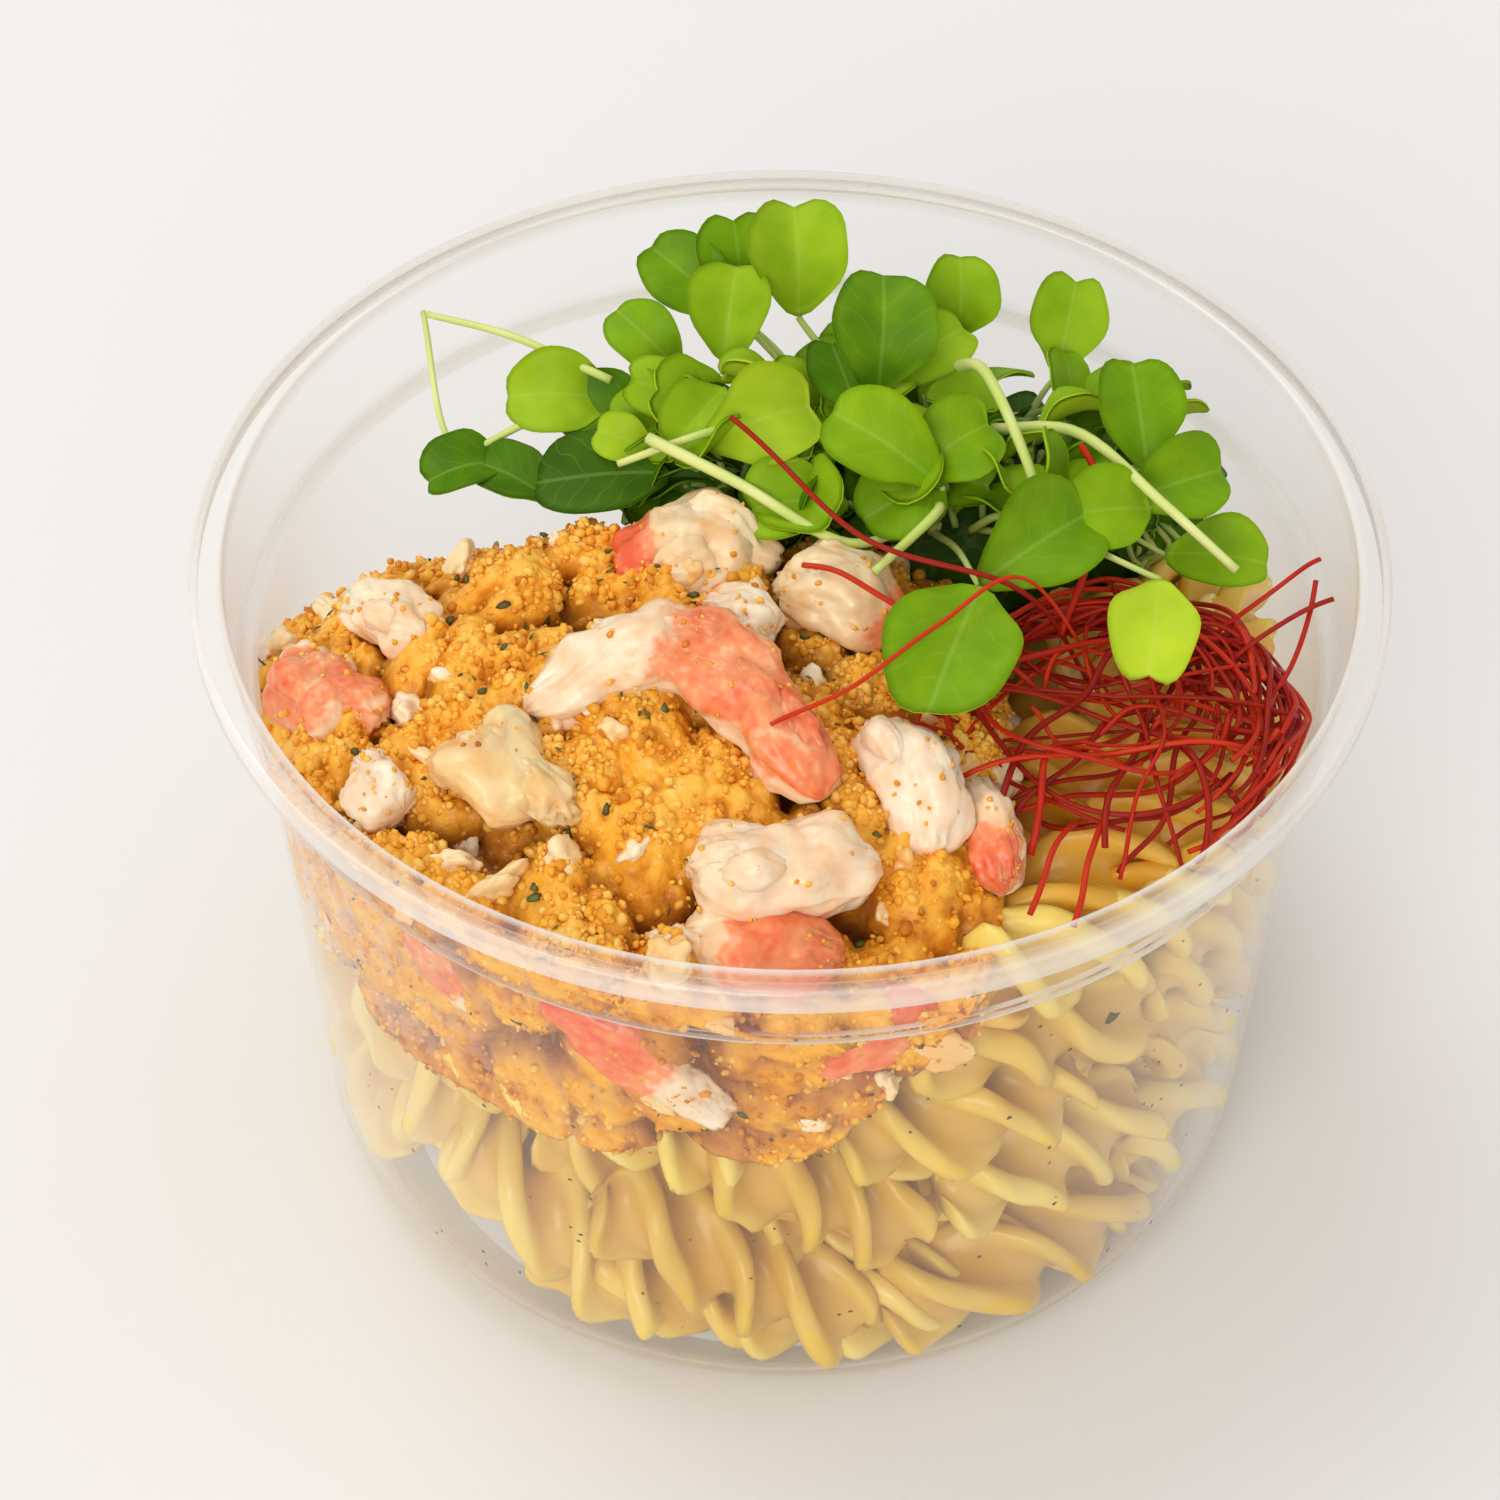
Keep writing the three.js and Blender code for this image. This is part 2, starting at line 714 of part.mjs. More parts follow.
function leafBody({ at, length, heading, rise, roll, cup = 0.16 }, margin = 0) {
  const [h, r, q] = [radians(heading), radians(rise), radians(roll)];
  const tip = new THREE.Vector3(Math.cos(h) * Math.cos(r), Math.sin(h) * Math.cos(r), Math.sin(r));
  const flat = new THREE.Vector3(-Math.sin(h), Math.cos(h), 0);
  const lift = tip.clone().cross(flat);
  const side = flat.clone().multiplyScalar(Math.cos(q)).addScaledVector(lift, Math.sin(q));
  const face = tip.clone().cross(side);
  const base = new THREE.Vector3(...at).addScaledVector(tip, -length / 2);
  const points = [];
  for (const thickness of [leafThickness / 2 + margin, -leafThickness / 2 - margin]) {
    for (const [along, half] of leafStations) {
      for (const across of [-1, 0, 1]) {
        const notch = along === 1 && across === 0 ? leafNotch : 0;
        const bend = cup * length * (Math.abs(across) * half * 0.5 - 0.8 * (along - 0.5) ** 2);
        const spread = across * (half * length * 0.48 + margin);
        const reach = (along - notch) * length + (along - 0.5) * 2 * margin;
        points.push(base.clone().addScaledVector(tip, reach).addScaledVector(side, spread)
          .addScaledVector(face, bend + thickness));
      }
    }
  }
  const half = leafStations.length * 3;
  const triangles = [];
  for (let i = 0; i < leafStations.length - 1; i += 1) {
    for (let k = 0; k < 2; k += 1) {
      const a = 3 * i + k;
      triangles.push([a, a + 3, a + 4], [a, a + 4, a + 1]);
      triangles.push([half + a, half + a + 4, half + a + 3], [half + a, half + a + 1, half + a + 4]);
    }
  }
  const rim = [];
  for (let i = 0; i < leafStations.length; i += 1) {
    rim.push(3 * i);
  }
  rim.push(half - 2);
  for (let i = leafStations.length - 1; i >= 0; i -= 1) {
    rim.push(3 * i + 2);
  }
  rim.push(1);
  for (let i = 0; i < rim.length; i += 1) {
    const a = rim[i];
    const b = rim[(i + 1) % rim.length];
    triangles.push([a, half + a, half + b], [a, half + b, b]);
  }
  return closedBody(points, triangles);
}

// The base of a leaf, where its stem ends
function leafBase({ at, length, heading, rise }) {
  const [h, r] = [radians(heading), radians(rise)];
  const tip = new THREE.Vector3(Math.cos(h) * Math.cos(r), Math.sin(h) * Math.cos(r), Math.sin(r));
  return new THREE.Vector3(...at).addScaledVector(tip, -length * 0.4);
}

// The section of a stem or a thread, three-sided
function roundSection(radius) {
  return [90, 210, 330].map((angle) => [
    radius * Math.cos(radians(angle)),
    radius * Math.sin(radians(angle)),
  ]);
}

// A thin rod through a few places
function rodBody(places, radius, steps) {
  return sweptBody(pathThrough(places), steps, () => roundSection(radius));
}

// Leaves of the microgreens that stand out of the heap
const greenLeaves = [
  { at: [0.5, 31, 86], length: 11, heading: 95, rise: 45, roll: 0 },
  { at: [-5.5, 34, 83], length: 9, heading: 100, rise: 50, roll: 10 },
  { at: [-11, 32, 82], length: 9.5, heading: 150, rise: 25, roll: -35 },
  { at: [-6, 27, 82], length: 9, heading: 80, rise: 40, roll: 0 },
  { at: [-15, 26, 79], length: 8.5, heading: 140, rise: 20, roll: -30 },
  { at: [-24, 21, 75], length: 10, heading: 180, rise: 0, roll: -35 },
  { at: [-13, 17.5, 79], length: 8, heading: 170, rise: 10, roll: -30 },
  { at: [-9.5, 12.5, 79], length: 8, heading: 230, rise: -20, roll: -20 },
  { at: [-17, 12.5, 77], length: 5.5, heading: 165, rise: 10, roll: -40 },
  { at: [-2, 10, 82], length: 10, heading: 15, rise: 10, roll: 40 },
  { at: [-33, 14, 71], length: 8.5, heading: 200, rise: -5, roll: -15 },
  { at: [9, 19.5, 86], length: 11, heading: 88, rise: 40, roll: 8 },
  { at: [14.5, 21, 82], length: 9, heading: 40, rise: 10, roll: 25 },
  { at: [17, 28, 83], length: 8, heading: 90, rise: 50, roll: 5 },
  { at: [28, 27, 81], length: 9, heading: 75, rise: 40, roll: 10 },
  { at: [34, 12, 82], length: 10, heading: 100, rise: 35, roll: -5 },
  { at: [38.5, 5.5, 78], length: 9, heading: 20, rise: 5, roll: 35 },
  { at: [30, 0, 79], length: 8.5, heading: 195, rise: 5, roll: -35 },
  { at: [24.5, -4, 79], length: 11.5, heading: 35, rise: 10, roll: 30 },
  { at: [34, -17.5, 79.5], length: 10, heading: 262, rise: -25, roll: 0 },
  { at: [25, 3.5, 82], length: 8, heading: 90, rise: 40, roll: 70 },
  { at: [8, 6, 83], length: 11, heading: 150, rise: 15, roll: -30 },
  { at: [42.5, 0, 73], length: 9, heading: 350, rise: 0, roll: 25 },
];

// Pale stems that lie on top of the heap
const greenStems = [
  [[-14, 9, 80], [-5, 3, 79.5], [5, -3, 77.5], [12, 3, 74]],
  [[16, 20, 80], [19, 14, 84.5], [23, 3, 82], [24, -1, 79]],
  [[20, 13, 78], [28, 8, 82], [36, 0, 80], [43, -5, 76]],
  [[14, 4, 76], [14, -1, 79.5], [8, -7.5, 77.8]],
  [[-18, 21, 77], [-28, 27, 77.5], [-37, 31, 77]],
];

function greensCore() {
  return heapBody({
    centre: greensCentre,
    reach: (angle) => 1 / Math.hypot(Math.cos(angle) / greensReach[0], Math.sin(angle) / greensReach[1]),
    low: () => 45,
    high: (x, y) => {
      const out = Math.hypot((x - greensCentre[0]) / greensReach[0], (y - greensCentre[1]) / greensReach[1]);
      return greensTopHeight - 5 * out * out + 1.2 * Math.sin(0.7 * x) * Math.cos(0.6 * y);
    },
    rings: 3,
    spokes: 18,
  });
}

// Where a stem leaves the heart of the heap for a leaf over there
function stemRoot(base) {
  const across = (base.x - greensCentre[0]) / greensReach[0];
  const along = (base.y - greensCentre[1]) / greensReach[1];
  const inward = Math.min(1, 0.75 / Math.hypot(across, along));
  return [
    greensCentre[0] + greensReach[0] * across * inward,
    greensCentre[1] + greensReach[1] * along * inward,
    greensTopHeight - 5,
  ];
}

function greensBody() {
  let body = greensCore();
  for (const leaf of greenLeaves) {
    const base = leafBase(leaf);
    const root = stemRoot(base);
    const knee = [(root[0] + base.x) / 2, (root[1] + base.y) / 2, (root[2] + base.z) / 2 + 1.5];
    body = body.add(leafBody(leaf));
    body = body.add(rodBody([root, knee, base.toArray()], stemRadius, 2));
  }
  for (const places of greenStems) {
    body = body.add(rodBody(places, stemRadius, 5));
  }
  body = body.intersect(roomInCup(gap)).subtract(pastaRoom(gap)).subtract(mixRoom(gap));
  body = body.subtract(nestRoom(gap)).subtract(leafBody(frontLeaf, gap)).subtract(leafBody(darkLeaf, gap));
  for (const places of strayThreads) {
    body = body.subtract(rodBody(places, threadThickness + gap, 6));
  }
  return clearOfPrawns(body, prawnList.length);
}

// Two loose leaves: a large one in front, a dark one on the mix
const frontLeaf = { at: [15, -19, 77.5], length: 14, heading: 250, rise: -12, roll: 0, cup: 0.08 };
const darkLeaf = { at: [-19.5, 9.2, 74.6], length: 12, heading: 185, rise: -4, roll: -15, cup: 0.1 };

// Chili threads: rings of thread round the nest, and strays that leave it
const ringThreads = 7;
const nestDepth = 6.3;
const strayThreads = [
  [[29, -10, 66], [21, -9.5, 78], [6, -4.5, 80.5], [-6, 8, 83.5]],
  [[31, -12, 66], [22, -11, 80], [14, -17, 80.5], [5, -25, 79], [-2, -29, 78.5]],
  [[38, -14, 66], [45, -11, 73], [52, -8.5, 75.5]],
  [[36, -10, 66], [46, -7, 75], [51, -4, 76.5]],
  [[28, -28, 65], [25, -35, 70], [22, -42, 67]],
];

function nestBody() {
  const random = randomFrom(57);
  let body = heapBody({
    centre: nestCentre,
    reach: () => nestReach - 5,
    low: () => 50,
    high: (x, y) => nestTop(x, y) - nestDepth,
    rings: 2,
    spokes: 16,
  });
  for (let i = 0; i < ringThreads; i += 1) {
    const radius = 10 + 6.5 * random();
    const start = random() * 2 * Math.PI;
    const centre = [nestCentre[0] + 4 * (random() - 0.5), nestCentre[1] + 4 * (random() - 0.5)];
    const squash = 0.75 + 0.25 * random();
    const ring = (t) => {
      const angle = start + 5.2 * t;
      const x = centre[0] + radius * Math.cos(angle);
      const y = centre[1] + radius * squash * Math.sin(angle);
      const dip = (nestDepth - threadThickness * i) * (2 * t - 1) ** 8;
      return new THREE.Vector3(x, y, nestTop(x, y) - threadThickness * (0.7 + i) - dip);
    };
    body = body.add(sweptBody(ring, 11, () => roundSection(threadThickness * 0.6)));
  }
  body = body.intersect(nestRoom(0));
  for (const places of strayThreads) {
    body = body.add(rodBody(places, threadThickness * 0.6, 6));
  }
  body = body.intersect(roomInCup(gap)).subtract(pastaRoom(gap)).subtract(mixRoom(gap));
  return clearOfPrawns(body.subtract(leafBody(frontLeaf, gap)), prawnList.length);
}

// Materials
const clearPlastic = new THREE.MeshStandardMaterial({
  color: 0xf1f2f2,
  roughness: 0.15,
  metalness: 0,
  transparent: true,
  opacity: 0.3,
});
const cookedPasta = new THREE.MeshStandardMaterial({ color: 0xe8cc80, roughness: 0.4, metalness: 0 });
const goldenCrumb = new THREE.MeshStandardMaterial({ color: 0xdc963c, roughness: 0.7, metalness: 0 });
const prawnMeat = new THREE.MeshStandardMaterial({ color: 0xf3b294, roughness: 0.35, metalness: 0 });
const freshLeaf = new THREE.MeshStandardMaterial({ color: 0x74ad2c, roughness: 0.5, metalness: 0 });
const driedChili = new THREE.MeshStandardMaterial({ color: 0xa01a0c, roughness: 0.5, metalness: 0 });

// The scene
const cupOfPasta = new THREE.Group();

function addPiece(name, solid, material) {
  const mesh = new THREE.Mesh(geometryOf(solid), material);
  mesh.name = name;
  cupOfPasta.add(mesh);
}

addPiece('cup', cupBody(), clearPlastic);
addPiece('pasta', pastaBody(), cookedPasta);
addPiece('prawn_crumb_mix', mixBody(), goldenCrumb);
prawnList.forEach((piece, index) => {
  const body = prawnBody(piece, prawnSeed + index, 0).intersect(roomInCup(gap));
  const clear = clearOfPrawns(body.subtract(pastaRoom(gap)), index);
  addPiece(`prawn_${index + 1}`, clear, prawnMeat);
});
addPiece('microgreens', greensBody(), freshLeaf);
addPiece('leaf_front', leafBody(frontLeaf), freshLeaf);
addPiece('leaf_dark', leafBody(darkLeaf), freshLeaf);
addPiece('chili_nest', nestBody(), driedChili);

export default cupOfPasta;
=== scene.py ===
import math

import bmesh
import bpy
import numpy as np
from mathutils import Matrix, Vector, noise


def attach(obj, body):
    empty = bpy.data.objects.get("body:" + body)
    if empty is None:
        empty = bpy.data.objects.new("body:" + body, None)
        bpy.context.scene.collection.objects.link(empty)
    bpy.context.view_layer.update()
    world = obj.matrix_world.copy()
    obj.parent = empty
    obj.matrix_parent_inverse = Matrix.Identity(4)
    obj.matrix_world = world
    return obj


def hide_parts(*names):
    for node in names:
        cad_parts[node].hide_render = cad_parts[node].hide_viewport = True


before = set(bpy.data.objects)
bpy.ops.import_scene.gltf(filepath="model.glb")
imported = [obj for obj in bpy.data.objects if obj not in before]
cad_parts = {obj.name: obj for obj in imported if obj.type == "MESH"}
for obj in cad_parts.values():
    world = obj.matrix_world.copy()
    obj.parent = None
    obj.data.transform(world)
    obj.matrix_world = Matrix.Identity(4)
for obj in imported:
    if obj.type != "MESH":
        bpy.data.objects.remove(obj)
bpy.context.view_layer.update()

# Lengths are millimetres until a mesh is made. +Z up, -Y the front, +X the right.
MM = 0.001

# The cup
CUP_HEIGHT = 74.5
RIM_RADIUS = 58.5
RIM_INNER_RADIUS = 55.2
RIM_LIP_DROP = 2.3
RIM_THICKNESS = 0.8
COLLAR_RADIUS = 55.6
LEDGE_HEIGHT = 62.5
LEDGE_WIDTH = 1.2
WALL_AT_LEDGE = 53.2
WALL_AT_BASE = 49.1
WALL_SLANT = (WALL_AT_LEDGE - WALL_AT_BASE) / LEDGE_HEIGHT
WALL = 0.7
CORNER_RADIUS = 8
CUP_SEGMENTS = 192
INTO_WALL = 0.15

# The pasta
PASTA_RADIUS = 5.8
PASTA_VALLEY = 2.3
PASTA_LENGTH = 40
PASTA_PITCH = 25
PASTA_LOW = 44
PASTA_RISE = 20
PASTA_BACK_DROP = 10
PASTA_STEPS = 40
PASTA_TIP = 0.14
WALL_ROW_HEIGHT = 12.8
WALL_ROW_START = 7.6
WALL_ROW_COUNT = 4
WALL_ROW_PIECES = 6
WALL_ROW_TURN = 3
WALL_SLOPE = 10
INNER_ROWS = 5
INNER_ROW_PIECES = 7
CORE_RADIUS = 40
CORE_FLOOR = 2.5
CORE_SPOKES = 150
CORE_TOP_RINGS = 8
CORE_SIDE_RINGS = 40
CORE_ROW_HEIGHT = 12

# The prawn and crumb mix
MIX_CENTRE = (-15, -17)
MIX_TOP_HEIGHT = 75
MIX_EDGE_HEIGHT = 2.4
MIX_SPOKES = 400
MIX_RINGS = 125
MIX_SKIRT = 38
MIX_TOP_COUNT = MIX_SPOKES * MIX_RINGS
MIX_SKIRT_COUNT = MIX_SPOKES * MIX_SKIRT
MIX_SHARES = (np.arange(1, MIX_RINGS + 1) / MIX_RINGS) ** 0.8
MIX_WEIGHTS = np.repeat(np.gradient(MIX_SHARES) * MIX_SHARES, MIX_SPOKES)
GRAIN_COUNT = 8600
GRAINS_ON_PRAWNS = 420
BITS_ON_TOP = 62
BITS_AT_SIDE = 30
HERBS_ON_TOP = 150
HERBS_AT_SIDE = 60
FLECK_SIDES = 7
WALL_SPECKS = 70
LARGE_SPECK = (-54, 53)
PRAWN_STEPS = 56
PRAWN_SIDES = 44

# The greens and the chili
GREENS_CENTRE = (12, 14)
GREENS_REACH = (26, 10)
GREENS_TOP_HEIGHT = 75
LEAF_THICKNESS = 0.3
LEAF_SPOKES = 32
LEAF_RINGS = 7
SMALL_LEAVES = 112
HANGING_STEMS = 84
STEM_RADIUS = 0.44
HEART_SPOKES = 48
HEART_RINGS = 8
NEST_CENTRE = (31, -18)
NEST_REACH = 20
NEST_TOP_HEIGHT = 73.5
THREAD_RADIUS = 0.24
CURLED_THREADS = 66
CROSSING_THREADS = 24

# The room: the floor, two lamps and the camera
FLOOR_REACH = 6.0
ROOM_LIGHT = 0.68
LAMP_COLOUR = (1.0, 0.985, 0.96)
LAMP_TARGET = (0, 0, 0.04)
LAMPS = (("key", (-1.0, 0.8, 2.2), 1.5, 16), ("fill", (-0.7, -2.0, 1.5), 1.6, 27))
CAMERA_DISTANCE = 459.0
CAMERA_ELEVATION = math.radians(45.7)
CAMERA_ROLL = math.radians(0.45)
CAMERA_TARGET = (-3.77, 0, 45.6)
CAMERA_LENS = 108
CAMERA_SENSOR = 36


# Seeded random numbers from 0 to 1, the same as the solids use
def random_from(seed):
    state = seed
    while True:
        state = (state * 16807) % 2147483647
        yield state / 2147483647


def smooth(low, high, value):
    t = np.clip((value - low) / (high - low), 0, 1)
    return t * t * (3 - 2 * t)


def peak(away, width):
    return np.exp(-(away / width) ** 2)


def circle(count):
    return np.linspace(0, 2 * np.pi, count, endpoint=False)


# The way of a heading and a rise, both in degrees
def direction(heading, rise=0.0):
    level = math.cos(math.radians(rise))
    turned = math.cos(math.radians(heading)) * level, math.sin(math.radians(heading)) * level
    return np.array([*turned, math.sin(math.radians(rise))])


# Points at angles, distances and heights round the cup's axis
def around(angle, radius, height):
    return np.stack(np.broadcast_arrays(radius * np.cos(angle), radius * np.sin(angle), height), axis=-1)


# The cup's inside radius at a height above its floor
def inner_radius(height):
    height = np.asarray(height, float)
    wall = WALL_AT_BASE - WALL + WALL_SLANT * height
    inner = CORNER_RADIUS - WALL
    below = np.clip(CORNER_RADIUS - height, 0, inner)
    corner = wall - inner + np.sqrt(inner * inner - below * below)
    up = np.clip((height - LEDGE_HEIGHT) / (CUP_HEIGHT - RIM_THICKNESS - LEDGE_HEIGHT), 0, 1)
    collar = WALL_AT_LEDGE + LEDGE_WIDTH - WALL
    above = collar + up * (COLLAR_RADIUS - WALL - collar)
    return np.where(height < CORNER_RADIUS, corner, np.where(height > LEDGE_HEIGHT, above, wall))


# Points moved inward where they would pass the cup's wall, less a margin
def keep_in_cup(points, margin=0.0):
    spread = np.hypot(points[..., 0], points[..., 1])
    limit = inner_radius(points[..., 2]) + INTO_WALL - margin
    inside = points.copy()
    inside[..., :2] *= np.minimum(1, limit / spread)[..., None]
    return inside


# Height of the pasta's top, high on the right and low at the back left
def pasta_top(x, y):
    rise = PASTA_RISE * smooth(-8, 26, x)
    drop = PASTA_BACK_DROP * smooth(2, 34, y)
    return PASTA_LOW + rise - drop + 1.4 * np.sin(0.21 * x + 0.6) * np.cos(0.18 * y)


# How far out a place lies in the mix's rounded plan, 1 at its edge
def mix_spread(x, y):
    dx, dy = x - MIX_CENTRE[0], y - MIX_CENTRE[1]
    across = np.where(dx > 0, 36, 46)
    along = np.where(dy > 0, 33, 50)
    return (np.abs(dx / across) ** 3 + np.abs(dy / along) ** 3) ** (1 / 3)


# Height of the prawn and crumb mix without its crags
def mix_top(x, y):
    away = np.hypot(x + 11, y + 14) / 38
    dome = MIX_TOP_HEIGHT - 7 * away * away
    foot = pasta_top(x, y) + MIX_EDGE_HEIGHT
    out = np.minimum(mix_spread(x, y), 1)
    return foot + np.maximum(dome - foot, 0) * np.sqrt(1 - out ** 4)


# Height of the chili nest
def nest_top(x, y):
    out = np.minimum(np.hypot(x - NEST_CENTRE[0], y - NEST_CENTRE[1]) / NEST_REACH, 1)
    return NEST_TOP_HEIGHT - 5.5 * out ** 4 - 1.2 * (1 - out) ** 2


# Smooth noise of one size at each point
def noise_at(points, size, seed=0.0):
    offset = Vector((seed, seed, seed))
    return np.array([noise.noise(Vector(p) / size + offset) for p in points])


# Distance from each point to the nearest middle of cells of one size
def cells_at(points, size, seed=0.0):
    offset = Vector((seed, seed, seed))
    return np.array([noise.voronoi(Vector(p) / size + offset)[0][0] for p in points])


# Round lumps of one size, 1 at their tops and 0 between them
def lumps(points, size, seed=0.0):
    away = cells_at(points, size, seed)
    return np.sqrt(np.clip(1 - (away / 0.85) ** 2, 0, 1))


# A named object put in the scene
def add_object(name, data):
    item = bpy.data.objects.new(name, data)
    bpy.context.scene.collection.objects.link(item)
    return item


# Many small bodies joined in one mesh, with numbers kept at their points
class Batch:
    def __init__(self):
        self.points = []
        self.faces = []
        self.layers = {}
        self.count = 0

    def add(self, points, faces, **layers):
        for block in faces:
            self.faces += (block + self.count).tolist()
        for name, value in layers.items():
            full = np.broadcast_to(np.asarray(value, float), len(points))
            self.layers.setdefault(name, []).append(full)
        self.points.append(points)
        self.count += len(points)


def make_piece(name, batch, material, replaced=()):
    mesh = bpy.data.meshes.new(name)
    mesh.from_pydata(np.concatenate(batch.points) * MM, [], batch.faces, shade_flat=False)
    for layer, values in batch.layers.items():
        attribute = mesh.attributes.new(layer, "FLOAT", "POINT")
        attribute.data.foreach_set("value", np.concatenate(values).astype(np.float32))
    mesh.validate()
    mesh.materials.append(material)
    piece = add_object(name, mesh)
    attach(piece, "root")
    if replaced:
        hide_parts(*replaced)


# Faces of a closed body of rings, whose two end points come after the rings
def ring_faces(rows, sides):
    k = np.arange(sides)
    nxt = (k + 1) % sides
    base = np.arange(rows - 1)[:, None] * sides
    quads = np.stack([base + k, base + nxt, base + sides + nxt, base + sides + k], axis=-1)
    first = rows * sides
    last = first - sides
    start_cap = np.stack([np.full(sides, first), nxt, k], axis=-1)
    end_cap = np.stack([np.full(sides, first + 1), last + k, last + nxt], axis=-1)
    return [quads.reshape(-1, 4), np.concatenate([start_cap, end_cap])]


# The same faces for rings that run downward
def flipped(faces):
    return [np.roll(block[:, ::-1], 1, axis=1) for block in faces]


# A body swept along centre points, with a ring of [across, over] offsets at each
def sweep(centres, rings):
    tangents = np.gradient(centres, axis=0)
    tangents /= np.linalg.norm(tangents, axis=1)[:, None]
    side = np.cross([0, 0, 1.0], tangents[0])
    if np.linalg.norm(side) < 0.2:
        side = np.array([1.0, 0, 0])
    points = []
    for centre, tangent, ring in zip(centres, tangents, rings):
        side = side - tangent * (side @ tangent)
        side /= np.linalg.norm(side)
        points.append(centre + ring[:, :1] * side + ring[:, 1:] * np.cross(tangent, side))
    return np.concatenate([*points, centres[[0, -1]]]), ring_faces(*rings.shape[:2])


# Points of a smooth curve through a few places
def curve_through(places, count):
    places = np.asarray(places, float)
    padded = np.concatenate([[2 * places[0] - places[1]], places, [2 * places[-1] - places[-2]]])
    t = np.linspace(0, len(places) - 1, count)
    i = np.minimum(t.astype(int), len(places) - 2)
    u = (t - i)[:, None]
    a, b, c, d = (padded[i + n] for n in range(4))
    return 0.5 * (2 * b + (c - a) * u + (2 * a - 5 * b + 4 * c - d) * u ** 2
                  + (3 * b - a - 3 * c + d) * u ** 3)


def round_rings(radii, sides):
    angle = circle(sides)
    return np.asarray(radii)[:, None, None] * np.stack([np.cos(angle), np.sin(angle)], axis=-1)


def ball(divisions):
    mesh = bpy.data.meshes.new("ball")
    builder = bmesh.new()
    bmesh.ops.create_icosphere(builder, subdivisions=divisions, radius=1)
    builder.to_mesh(mesh)
    builder.free()
    points = np.array([v.co[:] for v in mesh.vertices])
    faces = np.array([p.vertices[:] for p in mesh.polygons])
    bpy.data.meshes.remove(mesh)
    return points, faces


def random_turns(rng, count):
    turns = np.linalg.qr(rng.normal(size=(count, 3, 3)))[0]
    turns[:, :, 0] *= np.sign(np.linalg.det(turns))[:, None]
    return turns


# A material whose nodes are added one by one
class Look:
    def __init__(self, name, roughness, specular=0.5):
        self.material = bpy.data.materials.new(name)
        self.material.use_nodes = True
        self.nodes = self.material.node_tree.nodes
        self.inputs = self.nodes["Principled BSDF"].inputs
        self.inputs["Roughness"].default_value = roughness
        self.inputs["Specular IOR Level"].default_value = specular

    # A number, a colour or another node's output goes into a socket
    def put(self, socket, value):
        if isinstance(value, (int, float)):
            socket.default_value = value
        elif isinstance(value, tuple):
            socket.default_value = (*value, 1)
        else:
            self.material.node_tree.links.new(value, socket)

    # A node with some of its settings and sockets filled. Gives back one of its outputs.
    def node(self, kind, output, sockets, **settings):
        node = self.nodes.new("ShaderNode" + kind)
        for name, value in settings.items():
            setattr(node, name, value)
        for name, value in sockets.items():
            self.put(node.inputs[name], value)
        return node.outputs[output]

    def noise(self, scale, detail):
        place = self.node("TexCoord", "Object", {})
        sockets = {"Vector": place, "Scale": scale, "Detail": detail, "Roughness": 0.55}
        return self.node("TexNoise", "Fac", sockets)

    def layer(self, name):
        return self.node("Attribute", "Fac", {}, attribute_name=name)

    # Colours by value, each stop as place, red, green and blue
    def ramp(self, value, *stops):
        node = self.nodes.new("ShaderNodeValToRGB")
        elements = node.color_ramp.elements
        while len(elements) < len(stops):
            elements.new(0.5)
        for element, (place, *colour) in zip(elements, stops):
            element.position = place
            element.color = (*colour, 1)
        self.put(node.inputs["Fac"], value)
        return node.outputs["Color"]

    def mix(self, factor, a, b):
        return self.node("Mix", 2, {0: factor, 6: a, 7: b}, data_type="RGBA")

    def math(self, operation, a, b=0.0, clamp=False):
        return self.node("Math", 0, {0: a, 1: b}, operation=operation, use_clamp=clamp)

    # Two values joined, each times its own share
    def join(self, a, share_a, b, share_b, operation="ADD"):
        return self.math(operation, self.math("MULTIPLY", a, share_a), self.math("MULTIPLY", b, share_b))

    # A value moved by how far another lies from its middle
    def shift(self, value, by, share, clamp=False):
        away = self.math("SUBTRACT", by, 0.5)
        return self.math("ADD", value, self.math("MULTIPLY", away, share), clamp)

    def bump(self, height, strength, distance):
        sockets = {"Height": height, "Strength": strength, "Distance": distance}
        self.put(self.inputs["Normal"], self.node("Bump", "Normal", sockets))

    def coloured(self, colour):
        self.put(self.inputs["Base Color"], colour)
        return self.material


def clear_plastic():
    look = Look("clear_plastic", 0.1, 1.0)
    facing = look.node("LayerWeight", "Facing", {"Blend": 0.5})
    haze = look.noise(60, 1)
    # The veil is the plastic's haze plus the thick layer, which paints highlight lines on the rim, the ledge
    # and the foot
    haze_and_painted_highlight = look.join(haze, 0.016, look.layer("thick"), 0.5)
    edge = look.math("MULTIPLY", look.math("POWER", facing, 3.6), 0.75)
    alpha = look.math("ADD", edge, haze_and_painted_highlight, clamp=True)
    look.put(look.inputs["Alpha"], look.math("ADD", alpha, 0.004, clamp=True))
    return look.coloured(look.ramp(haze, (0.3, 0.90, 0.84, 0.76), (0.7, 0.96, 0.93, 0.88)))


